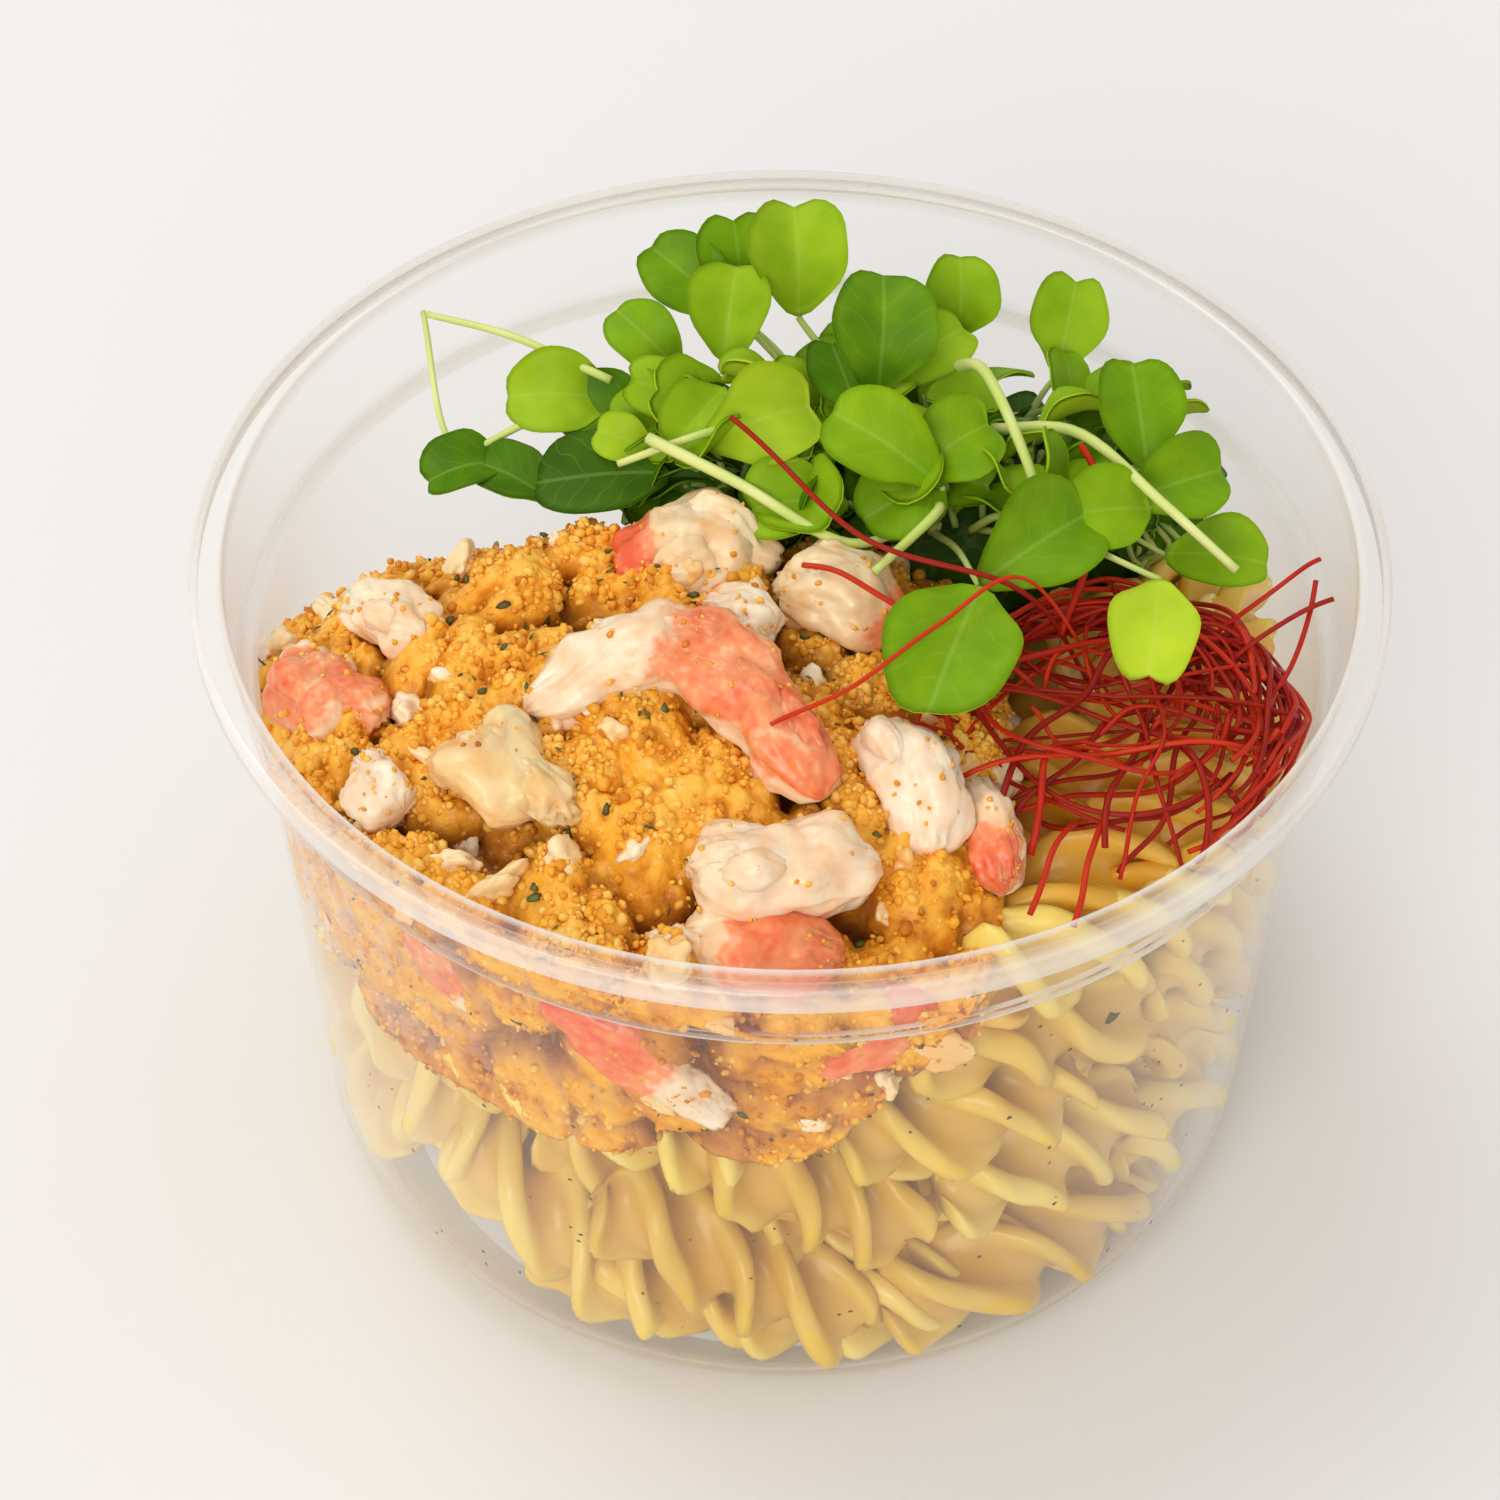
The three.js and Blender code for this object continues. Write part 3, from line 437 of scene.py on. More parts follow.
def pasta_material():
    look = Look("pasta", 0.26, 0.38)
    value = look.join(look.noise(120, 2), 0.5, look.layer("tint"), 0.5)
    plain = look.ramp(value, (0.2, 0.72, 0.43, 0.045), (0.5, 0.86, 0.59, 0.09), (0.85, 0.93, 0.73, 0.17))
    oily = look.ramp(value, (0.2, 0.66, 0.27, 0.015), (0.5, 0.86, 0.44, 0.04), (0.85, 0.93, 0.61, 0.11))
    colour = look.mix(look.layer("oil"), plain, oily)
    # Valleys between the ridges are mixed toward dark brown as painted shade
    painted_valley_shade = look.math("MULTIPLY", look.math("SUBTRACT", 1.0, look.layer("ridge")), 0.5)
    look.bump(look.noise(700, 1), 0.25, 0.0003)
    return look.coloured(look.mix(painted_valley_shade, colour, (0.62, 0.30, 0.03)))


def crumb_material():
    look = Look("crumb", 0.34, 0.3)
    value = look.join(look.noise(110, 2), 0.55, look.noise(420, 2), 0.45)
    tone = look.ramp(
        look.shift(value, look.layer("tint"), 0.35),
        (0.32, 0.52, 0.15, 0.008),
        (0.43, 0.76, 0.29, 0.018),
        (0.51, 0.88, 0.40, 0.032),
        (0.60, 0.94, 0.48, 0.050),
        (0.76, 0.96, 0.61, 0.13),
    )
    look.bump(look.noise(1500, 1), 0.5, 0.0004)
    # The hollow layer darkens crevices and dents toward dark brown as painted shade
    return look.coloured(look.mix(look.layer("hollow"), tone, (0.22, 0.065, 0.01)))


def prawn_material():
    look = Look("prawn", 0.28)
    patch = look.noise(260, 2)
    uneven = look.join(patch, 0.6, look.noise(800, 1), 0.4)
    edge = look.shift(look.layer("skin"), uneven, 1.3, clamp=True)
    meat = look.ramp(patch, (0.3, 0.92, 0.58, 0.34), (0.65, 0.96, 0.81, 0.60))
    cream = look.ramp(patch, (0.3, 0.84, 0.46, 0.13), (0.7, 0.93, 0.70, 0.35))
    flesh = look.mix(look.layer("warm"), meat, cream)
    pink = look.ramp(edge, (0.2, 0.94, 0.58, 0.34), (0.5, 0.93, 0.31, 0.12), (0.85, 0.83, 0.11, 0.030))
    shown = look.math("MULTIPLY", look.math("SUBTRACT", edge, 0.2), 4.0, clamp=True)
    look.inputs["Subsurface Weight"].default_value = 0.2
    look.inputs["Subsurface Radius"].default_value = (1.0, 0.5, 0.35)
    look.inputs["Subsurface Scale"].default_value = 0.002
    look.bump(look.math("ADD", look.layer("fibre"), look.noise(900, 1)), 0.35, 0.0004)
    return look.coloured(look.mix(shown, flesh, pink))


def leaf_material():
    look = Look("leaf", 0.46, 0.1)
    across = look.math("ABSOLUTE", look.layer("across"))
    blotch = look.noise(300, 1)
    # The shade layer gives each leaf its green, darker in the heap as painted shade and paler on its
    # underside
    blade = look.ramp(
        look.shift(look.layer("shade"), blotch, 0.25),
        (0.0, 0.026, 0.075, 0.002),
        (0.3, 0.080, 0.200, 0.003),
        (0.6, 0.210, 0.390, 0.004),
        (1.0, 0.480, 0.630, 0.026),
    )
    middle = look.math("LESS_THAN", across, 0.035)
    wave = look.join(look.layer("along"), 5.0, across, 2.4, "SUBTRACT")
    wave = look.math("ADD", wave, look.math("MULTIPLY", blotch, 1.5))
    branch = look.math("LESS_THAN", look.math("FRACT", wave), 0.07)
    veins = look.join(middle, 0.13, branch, 0.07, "MAXIMUM")
    look.bump(veins, 0.15, 0.0001)
    return look.coloured(look.mix(veins, blade, (0.50, 0.66, 0.16)))


def stem_material():
    look = Look("stem", 0.4, 0.25)
    pale = look.ramp(look.noise(90, 2), (0.3, 0.50, 0.62, 0.12), (0.7, 0.78, 0.81, 0.32))
    # Darker stems show painted shade from the shade layer
    return look.coloured(look.mix(look.layer("shade"), (0.16, 0.34, 0.04), pale))


def chili_material():
    look = Look("chili", 0.42, 0.2)
    value = look.join(look.layer("tint"), 0.7, look.noise(500, 2), 0.3)
    stops = (0.1, 0.240, 0.008, 0.002), (0.5, 0.440, 0.014, 0.003), (0.9, 0.640, 0.040, 0.006)
    return look.coloured(look.ramp(value, *stops))


def herb_material():
    look = Look("herb", 0.6)
    return look.coloured(look.ramp(look.noise(900, 2), (0.3, 0.10, 0.045, 0.01), (0.7, 0.12, 0.17, 0.03)))


def bit_material():
    look = Look("bit", 0.3)
    tone = look.noise(300, 3)
    value = look.join(look.layer("tint"), 0.6, tone, 0.4)
    look.bump(tone, 0.3, 0.0004)
    stops = (0.15, 0.90, 0.48, 0.13), (0.45, 0.94, 0.68, 0.32), (0.8, 0.95, 0.80, 0.54)
    return look.coloured(look.ramp(value, *stops))


# Points on an arc from one angle to another, in degrees
def arc_points(centre, radius, start, end, steps):
    angles = np.radians(np.linspace(start, end, steps))
    return [(centre[0] + radius * math.cos(a), centre[1] + radius * math.sin(a)) for a in angles]


# The cup's profile as (radius, height), from its base up the outside and down the inside
def cup_profile():
    corner = (WALL_AT_BASE - CORNER_RADIUS, CORNER_RADIUS)
    wall, step, ledge = WALL_AT_LEDGE, WALL_AT_LEDGE + LEDGE_WIDTH, LEDGE_HEIGHT
    fold, under, lip = RIM_RADIUS - RIM_THICKNESS, CUP_HEIGHT - RIM_THICKNESS, CUP_HEIGHT - RIM_LIP_DROP
    return [
        (0, 0),
        *arc_points(corner, CORNER_RADIUS, -90, 0, 12),
        (wall - 0.1 - WALL_SLANT, ledge - 1.4),
        (wall - 0.1, ledge - 0.4),
        (wall + 0.1, ledge),
        (step - 0.2, ledge + 0.4),
        (step, ledge + 0.9),
        (step + 0.1, ledge + 2),
        *arc_points((COLLAR_RADIUS + 1.2, under - 1.2), 1.2, 180, 90, 5),
        (fold, under),
        (fold, lip),
        *arc_points((RIM_RADIUS - RIM_THICKNESS / 2, lip), RIM_THICKNESS / 2, 200, 340, 5),
        *arc_points((RIM_RADIUS - 0.6, CUP_HEIGHT - 0.6), 0.6, 0, 90, 6),
        (RIM_RADIUS - 1.2, CUP_HEIGHT),
        (RIM_INNER_RADIUS + 1.1, CUP_HEIGHT),
        *arc_points((RIM_INNER_RADIUS + 0.4, CUP_HEIGHT - 0.4), 0.4, 90, 180, 5),
        (COLLAR_RADIUS - WALL, under - 1),
        (step - WALL + 0.1, ledge + 2.2),
        (step - WALL, ledge + 1.1),
        (step - WALL - 0.2, ledge + 0.6),
        (wall - WALL + 0.1, ledge + 0.2),
        (wall - WALL, ledge - 0.3),
        (wall - WALL - WALL_SLANT, ledge - 1.3),
        *arc_points(corner, CORNER_RADIUS - WALL, 0, -90, 12),
        (0, WALL),
    ]


# How thick the plastic looks, with painted highlight lines on its rounded edges, from 0 on the wall to 1 on
# the rim, the ledge and the foot
def thickness_and_painted_highlight(radius, height):
    top = smooth(CUP_HEIGHT - 1.2, CUP_HEIGHT - 0.6, height)
    rim = top * peak(radius - RIM_INNER_RADIUS - 0.2, 0.4)
    brim = top * peak(radius - RIM_RADIUS + 0.3, 0.4)
    lip = peak(height - CUP_HEIGHT + RIM_LIP_DROP, 0.5)
    lip = lip * smooth(COLLAR_RADIUS + 1.5, COLLAR_RADIUS + 2, radius)
    ledge = peak(height - LEDGE_HEIGHT - 0.4, 0.45)
    foot = peak(height - 1.4, 0.7) * smooth(43, 45, radius)
    return np.clip(0.12 * top + rim + 0.8 * brim + 0.8 * lip + 0.9 * ledge + 0.8 * foot, 0, 1)


def add_cup():
    profile = np.array(cup_profile())
    rings = profile[1:-1]
    turned = around(circle(CUP_SEGMENTS), rings[:, :1], rings[:, 1:]).reshape(-1, 3)
    ends = np.array([[0, 0, profile[0, 1]], [0, 0, profile[-1, 1]]])
    # The thick layer whitens the rim, the ledge and the foot, partly thicker plastic and partly painted
    # highlight
    thick = np.repeat(thickness_and_painted_highlight(rings[:, 0], rings[:, 1]), CUP_SEGMENTS)
    batch = Batch()
    faces = ring_faces(len(rings), CUP_SEGMENTS)
    batch.add(np.concatenate([turned, ends]), faces, thick=np.append(thick, [0, 0]))
    make_piece("cup_visual", batch, clear_plastic(), ["cup"])


# Half a turn of a fin's section, as (distance from the middle, distance to the side)
FIN_SECTION = [(2.9, -1.35), (4.0, -1.6), (4.9, -1.6), (5.5, -1.05), (5.75, 0.0),
               (5.5, 1.05), (4.9, 1.6), (4.0, 1.6), (2.9, 1.35)]


# One twisted piece with three fins
def fusilli(centres, turn, rng, oil, batch):
    length = np.linalg.norm(np.diff(centres, axis=0), axis=1).sum()
    count = len(centres)
    t = np.linspace(0, 1, count)
    pitch = PASTA_PITCH * rng.uniform(0.75, 1.35)
    angle = turn + 2 * np.pi * length / pitch * t + 0.3 * np.sin(2 * np.pi * t * rng.uniform(1, 2))
    section, swell = [], []
    for fin in range(3):
        wave = 1 + 0.07 * np.sin(2 * np.pi * t * rng.uniform(2.5, 5) + rng.uniform(0, 6))
        for radial, over in FIN_SECTION:
            section.append((fin, radial, over * rng.uniform(0.92, 1.08)))
            swell.append(1 + (wave - 1) * (radial > 3))
        section.append((fin + 0.5, PASTA_VALLEY, 0.0))
        swell.append(np.ones(count))
    section = np.array(section)
    tip = np.clip((np.abs(2 * t - 1) - (1 - PASTA_TIP)) / PASTA_TIP, 0, 1)
    swell = np.stack(swell, axis=-1) * (0.99 * np.sqrt(1 - 0.8 * tip ** 2))[:, None]
    spoke = angle[:, None] + section[:, 0] * 2 * np.pi / 3
    radial = section[:, 1] * swell
    over = section[:, 2] * np.sqrt(1 - 0.5 * tip ** 2)[:, None]
    rings = np.stack([
        radial * np.cos(spoke) - over * np.sin(spoke),
        radial * np.sin(spoke) + over * np.cos(spoke),
    ], axis=-1)
    points, faces = sweep(centres, rings)
    # Ridge is 1 on the fins and 0 in the valleys, where the pasta material paints shade
    ridge = np.append(np.tile(section[:, 1] > 3, count), [0.5, 0.5])
    batch.add(keep_in_cup(points), faces, tint=rng.uniform(0, 1), oil=oil, ridge=ridge)


# A path just inside the wall between two places given as (azimuth, height)
def path_on_wall(start, end, depth, bow=0.0):
    azimuth, height = np.linspace(start, end, PASTA_STEPS).T
    height = height + bow * np.sin(np.linspace(0, np.pi, PASTA_STEPS))
    return around(np.radians(azimuth), inner_radius(height) - PASTA_RADIUS + INTO_WALL - depth, height)


def path_on_top(middle, heading, rise):
    t = np.linspace(-0.5, 0.5, PASTA_STEPS)[:, None]
    centre = np.array([*middle, float(pasta_top(*middle)) - PASTA_RADIUS + 0.4])
    return centre + t * PASTA_LENGTH * direction(heading, rise) + [0, 0, -2.5] * (2 * t) ** 2


# True where a piece at this height stays under the pasta's top, or passes it by little
def stays_low(path, height, over):
    return height + PASTA_RADIUS < pasta_top(*path[PASTA_STEPS // 2, :2]) + over


# A piece that closes a gap, kept off the floor
def fill_gap(path, height, over, floor, rng, batch):
    if stays_low(path, height, over):
        path[:, 2] = np.maximum(path[:, 2], PASTA_RADIUS + floor)
        fusilli(path, rng.uniform(0, 3), rng, 0, batch)


# Pieces seen through the front of the wall: two ends as (azimuth, height), and how deep they lie
FRONT_PIECES = [
    ((-114, 25), (-80, 6.8), 0), ((-138, 22), (-106, 7), 0.3), ((-134, 44), (-95, 36), 0),
    ((-102, 38), (-73, 22), 0.3), ((-84, 40), (-52, 38), 0), ((-77, 53), (-42, 43), 0.5),
    ((-70, 62), (-32, 53), 0.4), ((-77, 8.5), (-36, 7), 0), ((-158, 42), (-133, 18), 0.3),
    ((-70, 25), (-37, 22), 0.4), ((-164, 29), (-130, 33), 4), ((-92, 26), (-62, 34), 5),
    ((-40, 44), (-8, 36), 0.2), ((-37, 32), (-6, 24), 0.3), ((-38, 15), (0, 7), 0),
    ((-36, 58), (-4, 52), 0.2), ((-192, 18), (-152, 7), 0.2), ((-194, 33), (-158, 22), 0.4),
    ((-126, 9), (-92, 6.8), 2.5), ((-97, 8), (-62, 6.8), 2), ((-62, 7.5), (-26, 6.8), 2.5),
]

# Pieces that close the gaps at the sides and the back
SIDE_AZIMUTHS = (0, 58, 118, 170)
SIDE_HEIGHTS = (9, 22, 35, 48)

# Pieces seen on top: middle, heading and rise
TOP_PIECES = [
    ((21, -25), 25, 3), ((33, -5), 100, 0), ((-22, 22), 35, 0),
    ((29, -29), 48, 4), ((38, -12), 72, 2), ((27, -15), 18, -3),
    ((37, 10), 112, -3), ((8, 30), 172, -3), ((-8, 38), 165, -4),
]


# The pasta behind the pieces, with rows of twisted ridges on its side
def add_pasta_core(batch):
    angle = circle(CORE_SPOKES)
    points, ridge = [], []
    for i in range(1, CORE_TOP_RINGS + 1):
        ring = around(angle, CORE_RADIUS * i / CORE_TOP_RINGS, 0)
        points.append(np.stack([ring[:, 0], ring[:, 1], pasta_top(ring[:, 0], ring[:, 1]) - 7], axis=-1))
        ridge.append(np.zeros(CORE_SPOKES))
    rim = points[-1]
    for height in np.linspace(1, 0, CORE_SIDE_RINGS + 1)[1:]:
        z = CORE_FLOOR + (pasta_top(rim[:, 0], rim[:, 1]) - 7 - CORE_FLOOR) * height
        level = z + 3 * np.sin(2 * angle + 1) + 2 * np.sin(5 * angle)
        row = np.floor(level / CORE_ROW_HEIGHT)
        bulge = np.sin(np.pi * (level / CORE_ROW_HEIGHT - row))
        phase = 30 * angle + 0.7 * z + 2.1 * row + 0.8 * np.sin(3 * angle + row)
        inset = np.minimum(CORE_RADIUS, inner_radius(z) - 8) + 2.4 * bulge + 1.3 * np.sin(phase) * bulge - 2
        points.append(around(angle, inset, z))
        # Ridge is low between twists and between rows, where the pasta material paints shade
        ridge.append((0.5 + 0.5 * np.sin(phase)) * bulge)
    faces = flipped(ring_faces(len(points), CORE_SPOKES))
    ends = np.array([[0, 0, float(pasta_top(0, 0)) - 8], [0, 0, CORE_FLOOR]])
    batch.add(np.concatenate([*points, ends]), faces, tint=0.25, oil=0.3, ridge=np.append(ridge, [0, 0]))


def add_pasta():
    rng = np.random.default_rng(11)
    batch = Batch()
    add_pasta_core(batch)
    same = random_from(7)
    spacing = 360 / WALL_ROW_PIECES
    for row in range(WALL_ROW_COUNT):
        for i in range(WALL_ROW_PIECES):
            azimuth = WALL_ROW_TURN * row + spacing * i
            slope = WALL_SLOPE * (0.93 + 0.14 * next(same))
            turn = next(same) * math.pi
            high = WALL_ROW_START + WALL_ROW_HEIGHT * row + slope
            ends = (azimuth, high), (azimuth + spacing * 0.92, high - slope)
            path = path_on_wall(*ends, 0, rng.uniform(-2, 2))
            if azimuth < 175 and stays_low(path, path[PASTA_STEPS // 2, 2], 1.5):
                fusilli(path, turn, rng, 0, batch)
    for start, end, depth in FRONT_PIECES:
        path = path_on_wall(start, end, depth, rng.uniform(-1.5, 1.5))
        fusilli(path, rng.uniform(0, 3), rng, 0, batch)
    for azimuth in SIDE_AZIMUTHS:
        for height in SIDE_HEIGHTS:
            path = path_on_wall((azimuth - 17, height + 3), (azimuth + 17, height - 3), rng.uniform(1, 2.5))
            fill_gap(path, path[PASTA_STEPS // 2, 2], 2, 1, rng, batch)
    for row in range(INNER_ROWS):
        for i in range(INNER_ROW_PIECES):
            azimuth = 51.4 * i + 24 * row + rng.uniform(-6, 6)
            height = 9 + 10.5 * row + rng.uniform(-2, 2)
            tilt = rng.uniform(-9, 9)
            ends = (azimuth, height - tilt), (azimuth + 44, height + tilt)
            path = path_on_wall(*ends, rng.uniform(6.5, 9))
            fill_gap(path, path[:, 2].max(), 1, 1.4, rng, batch)
    for middle, heading, rise in TOP_PIECES:
        oil = 1.0 if middle[0] > 15 and middle[1] < 5 else 0.25
        fusilli(path_on_top(middle, heading, rise), rng.uniform(0, 3), rng, oil, batch)
    make_piece("pasta_visual", batch, pasta_material(), ["pasta"])


# The mix's top and skirt before they get their crags
def mix_points():
    angle = circle(MIX_SPOKES)
    way = np.stack([np.cos(angle), np.sin(angle)], axis=-1)
    reach = 1 / mix_spread(MIX_CENTRE[0] + way[:, 0], MIX_CENTRE[1] + way[:, 1])
    edge = float(inner_radius(67)) + INTO_WALL
    along = way @ np.array(MIX_CENTRE)
    to_wall = -along + np.sqrt(along ** 2 - (MIX_CENTRE[0] ** 2 + MIX_CENTRE[1] ** 2) + edge ** 2)
    reach = np.minimum(reach, to_wall)
    x = MIX_CENTRE[0] + MIX_SHARES[:, None] * reach * np.cos(angle)
    y = MIX_CENTRE[1] + MIX_SHARES[:, None] * reach * np.sin(angle)
    top = np.stack([x, y, mix_top(x, y)], axis=-1)
    rim_x, rim_y, rim_z = top[-1].T
    down = np.linspace(0, 1, MIX_SKIRT + 1)[1:, None]
    foot = pasta_top(rim_x, rim_y) - 4
    skirt = np.stack(np.broadcast_arrays(rim_x, rim_y, rim_z + down * (foot - rim_z)), axis=-1)
    return top.reshape(-1, 3), keep_in_cup(skirt).reshape(-1, 3)


# Chunks, clumps, crumbs and grit on top: size, seed, height and level
MIX_LUMPS = ((9.0, 0.0, 7.5, 0.78), (3.6, 7.0, 2.8, 0.72), (1.7, 3.0, 0.8, 0.6), (0.95, 11.0, 0.4, 0.6))

# Dents, pits and grit at the side: size and seed
MIX_HOLLOWS = ((7.5, 2.0), (2.6, 9.0), (1.0, 5.0))


def add_mix():
    top, skirt = mix_points()
    chunks, clumps, crumbs, grit = shapes = [lumps(top, size, seed) for size, seed, *_ in MIX_LUMPS]
    lift = sum(height * (shape - level) for shape, (*_, height, level) in zip(shapes, MIX_LUMPS))
    ring = np.repeat(np.arange(MIX_RINGS), MIX_SPOKES) / (MIX_RINGS - 1)
    lift *= np.where(ring > 0.97, 0.3, 1)
    top = keep_in_cup(top + lift[:, None] * np.array([0.1, -0.25, 1]))
    dents, pits, grit_below = (1 - lumps(skirt, size, seed) for size, seed in MIX_HOLLOWS)
    inward = np.clip(dents - 0.18, 0, 1) * 5 + np.clip(pits - 0.25, 0, 1) * 1.6 + 0.45 * grit_below
    at_back = smooth(-8, 6, skirt[:, 1])
    inward = inward * (1 + 0.8 * at_back) - 2.2 * at_back * (lumps(skirt, 5.5, 6.0) - 0.4)
    out = skirt[:, :2] - MIX_CENTRE
    skirt[:, :2] -= out * (inward / np.linalg.norm(out, axis=1))[:, None]
    surface = np.concatenate([top, skirt])
    # Low places between lumps and dents at the side get painted shade
    hollow = np.concatenate([np.clip(-0.22 * lift - 0.12, 0, 1) * 0.85, np.clip(inward * 0.35, 0, 0.75)])
    # Paler on lump tops as painted light and darker in the dents at the side as painted shade; the material
    # adds random tone
    tint = np.concatenate([0.2 + 0.4 * chunks * clumps + 0.3 * crumbs * grit, 0.6 - 0.8 * dents])
    ends = np.array([[*MIX_CENTRE, float(mix_top(*MIX_CENTRE))], skirt[-MIX_SPOKES:].mean(axis=0)])
    batch = Batch()
    faces = flipped(ring_faces(MIX_RINGS + MIX_SKIRT, MIX_SPOKES))
    tint, shaded = np.append(tint, [0.3, 0.3]), np.append(hollow, [0.3, 0.3])
    batch.add(np.concatenate([surface, ends]), faces, tint=tint, hollow=shaded)
    material = crumb_material()
    make_piece("crumb_base", batch, material, ["prawn_crumb_mix"])
    return surface, hollow, material


# Places on the mix's top and at its side, by number
def places_on_mix(rng, on_top, at_side, **weights):
    top = rng.choice(MIX_TOP_COUNT, on_top, **weights)
    return [*top, *(MIX_TOP_COUNT + rng.choice(MIX_SKIRT_COUNT, at_side))]


# Crumb grains on the mix, fewer in its hollows, and some on the prawns
def add_grains(surface, hollow, material, prawn_points, rng):
    shape, faces = ball(1)
    total = GRAIN_COUNT + GRAINS_ON_PRAWNS
    weight = np.concatenate([MIX_WEIGHTS, np.full(MIX_SKIRT_COUNT, MIX_WEIGHTS.mean() * 1.6)])
    patch = cells_at(surface, 7.0, 4.0)
    weight = weight * np.where(patch < 0.45, 1, 0.3) * (1 - np.clip(1.1 * hollow, 0, 0.8))
    chosen = rng.choice(len(surface), GRAIN_COUNT, p=weight / weight.sum())
    centres = surface[chosen] + rng.normal(0, 0.2, (GRAIN_COUNT, 3))
    radii = 0.24 + 0.42 * rng.uniform(0, 1, GRAIN_COUNT) ** 2.5
    centres[:, 2] += np.where(chosen < MIX_TOP_COUNT, 0.1 * radii, 0)
    on_prawns = prawn_points[rng.choice(len(prawn_points), GRAINS_ON_PRAWNS)]
    centres = np.concatenate([centres, on_prawns + rng.normal(0, 0.12, (GRAINS_ON_PRAWNS, 3))])
    radii = np.concatenate([radii, rng.uniform(0.15, 0.36, GRAINS_ON_PRAWNS)])
    # Grains in the hollows get half the painted shade of the surface below
    painted_grain_shade = np.concatenate([0.5 * hollow[chosen], np.zeros(GRAINS_ON_PRAWNS)])
    centres = keep_in_cup(centres, radii * 0.8)
    turns = random_turns(rng, total)
    stretch = rng.uniform(0.6, 1.45, (total, 1, 3))
    points = np.einsum("nij,nkj->nki", turns, shape[None] * stretch) * radii[:, None, None] + centres[:, None]
    index = (np.arange(total) * len(shape))[:, None, None] + faces[None]
    batch = Batch()
    tint = np.repeat(rng.uniform(0.25, 1.1, total), len(shape))
    batch.add(points.reshape(-1, 3), [index.reshape(-1, 3)], tint=tint, hollow=np.repeat(painted_grain_shade, len(shape)))
    make_piece("crumb_grains", batch, material)


# Small pale bits of prawn, every fourth one larger
def add_bits(surface, rng):
    batch = Batch()
    chosen = places_on_mix(rng, BITS_ON_TOP, BITS_AT_SIDE, p=MIX_WEIGHTS / MIX_WEIGHTS.sum())
    for number, index in enumerate(chosen):
        shape, faces = ball(3 if number % 4 else 4)
        size = rng.uniform(0.9, 1.9) if number % 4 else rng.uniform(1.9, 2.8)
        rough = noise_at(shape * 1.1 + number * 3.1, 1.0) + 0.4 * noise_at(shape * 3 + number, 1.0)
        lump = shape * (1 + 0.7 * rough)[:, None] * rng.uniform(0.45, 1.2, 3) * size
        turn = random_turns(rng, 1)[0]
        points = lump @ turn.T + surface[index] - np.array([0, 0, 0.1 * size])
        batch.add(keep_in_cup(points), [faces], tint=rng.uniform(0, 1))
    make_piece("crumb_bits", batch, bit_material())


# A thin flat fleck from its outline and its two middles
def add_fleck(batch, points):
    batch.add(points, flipped(ring_faces(1, FLECK_SIDES)))


# Herb flecks on the mix and dark specks at the wall
def add_herbs(surface, rng):
    batch = Batch()
    angle = circle(FLECK_SIDES)
    for index in places_on_mix(rng, HERBS_ON_TOP, HERBS_AT_SIDE):
        size = rng.uniform(0.3, 0.9)
        outline = np.stack([np.cos(angle), 0.6 * np.sin(angle), 0 * angle], axis=-1)
        outline *= rng.uniform(0.6, 1.2, (FLECK_SIDES, 1)) * size
        disc = np.concatenate([outline, [[0, 0, 0.12], [0, 0, -0.12]]])
        turn = random_turns(rng, 1)[0]
        add_fleck(batch, keep_in_cup(disc @ turn.T + surface[index] + np.array([0, 0, 0.5])))
    for number in range(WALL_SPECKS):
        azimuth, height = rng.uniform(-150, -20), rng.uniform(8, 58)
        size = rng.uniform(0.2, 0.55) if number else 1.5
        if number == 0:
            azimuth, height = LARGE_SPECK
        outline = np.stack([0 * angle, 0.6 * np.cos(angle), 0.5 * np.sin(angle)], axis=-1)
        outline *= rng.uniform(0.5, 1.3, (FLECK_SIDES, 1)) * size
        out, over, up = np.concatenate([outline, [[0.1, 0, 0], [-0.1, 0, 0]]]).T
        out = out + float(inner_radius(height)) + INTO_WALL - 0.05
        cosine, sine = math.cos(math.radians(azimuth)), math.sin(math.radians(azimuth))
        points = [out * cosine - over * sine, out * sine + over * cosine, height + up]
        add_fleck(batch, np.stack(points, axis=-1))
    make_piece("herb_flecks", batch, herb_material())


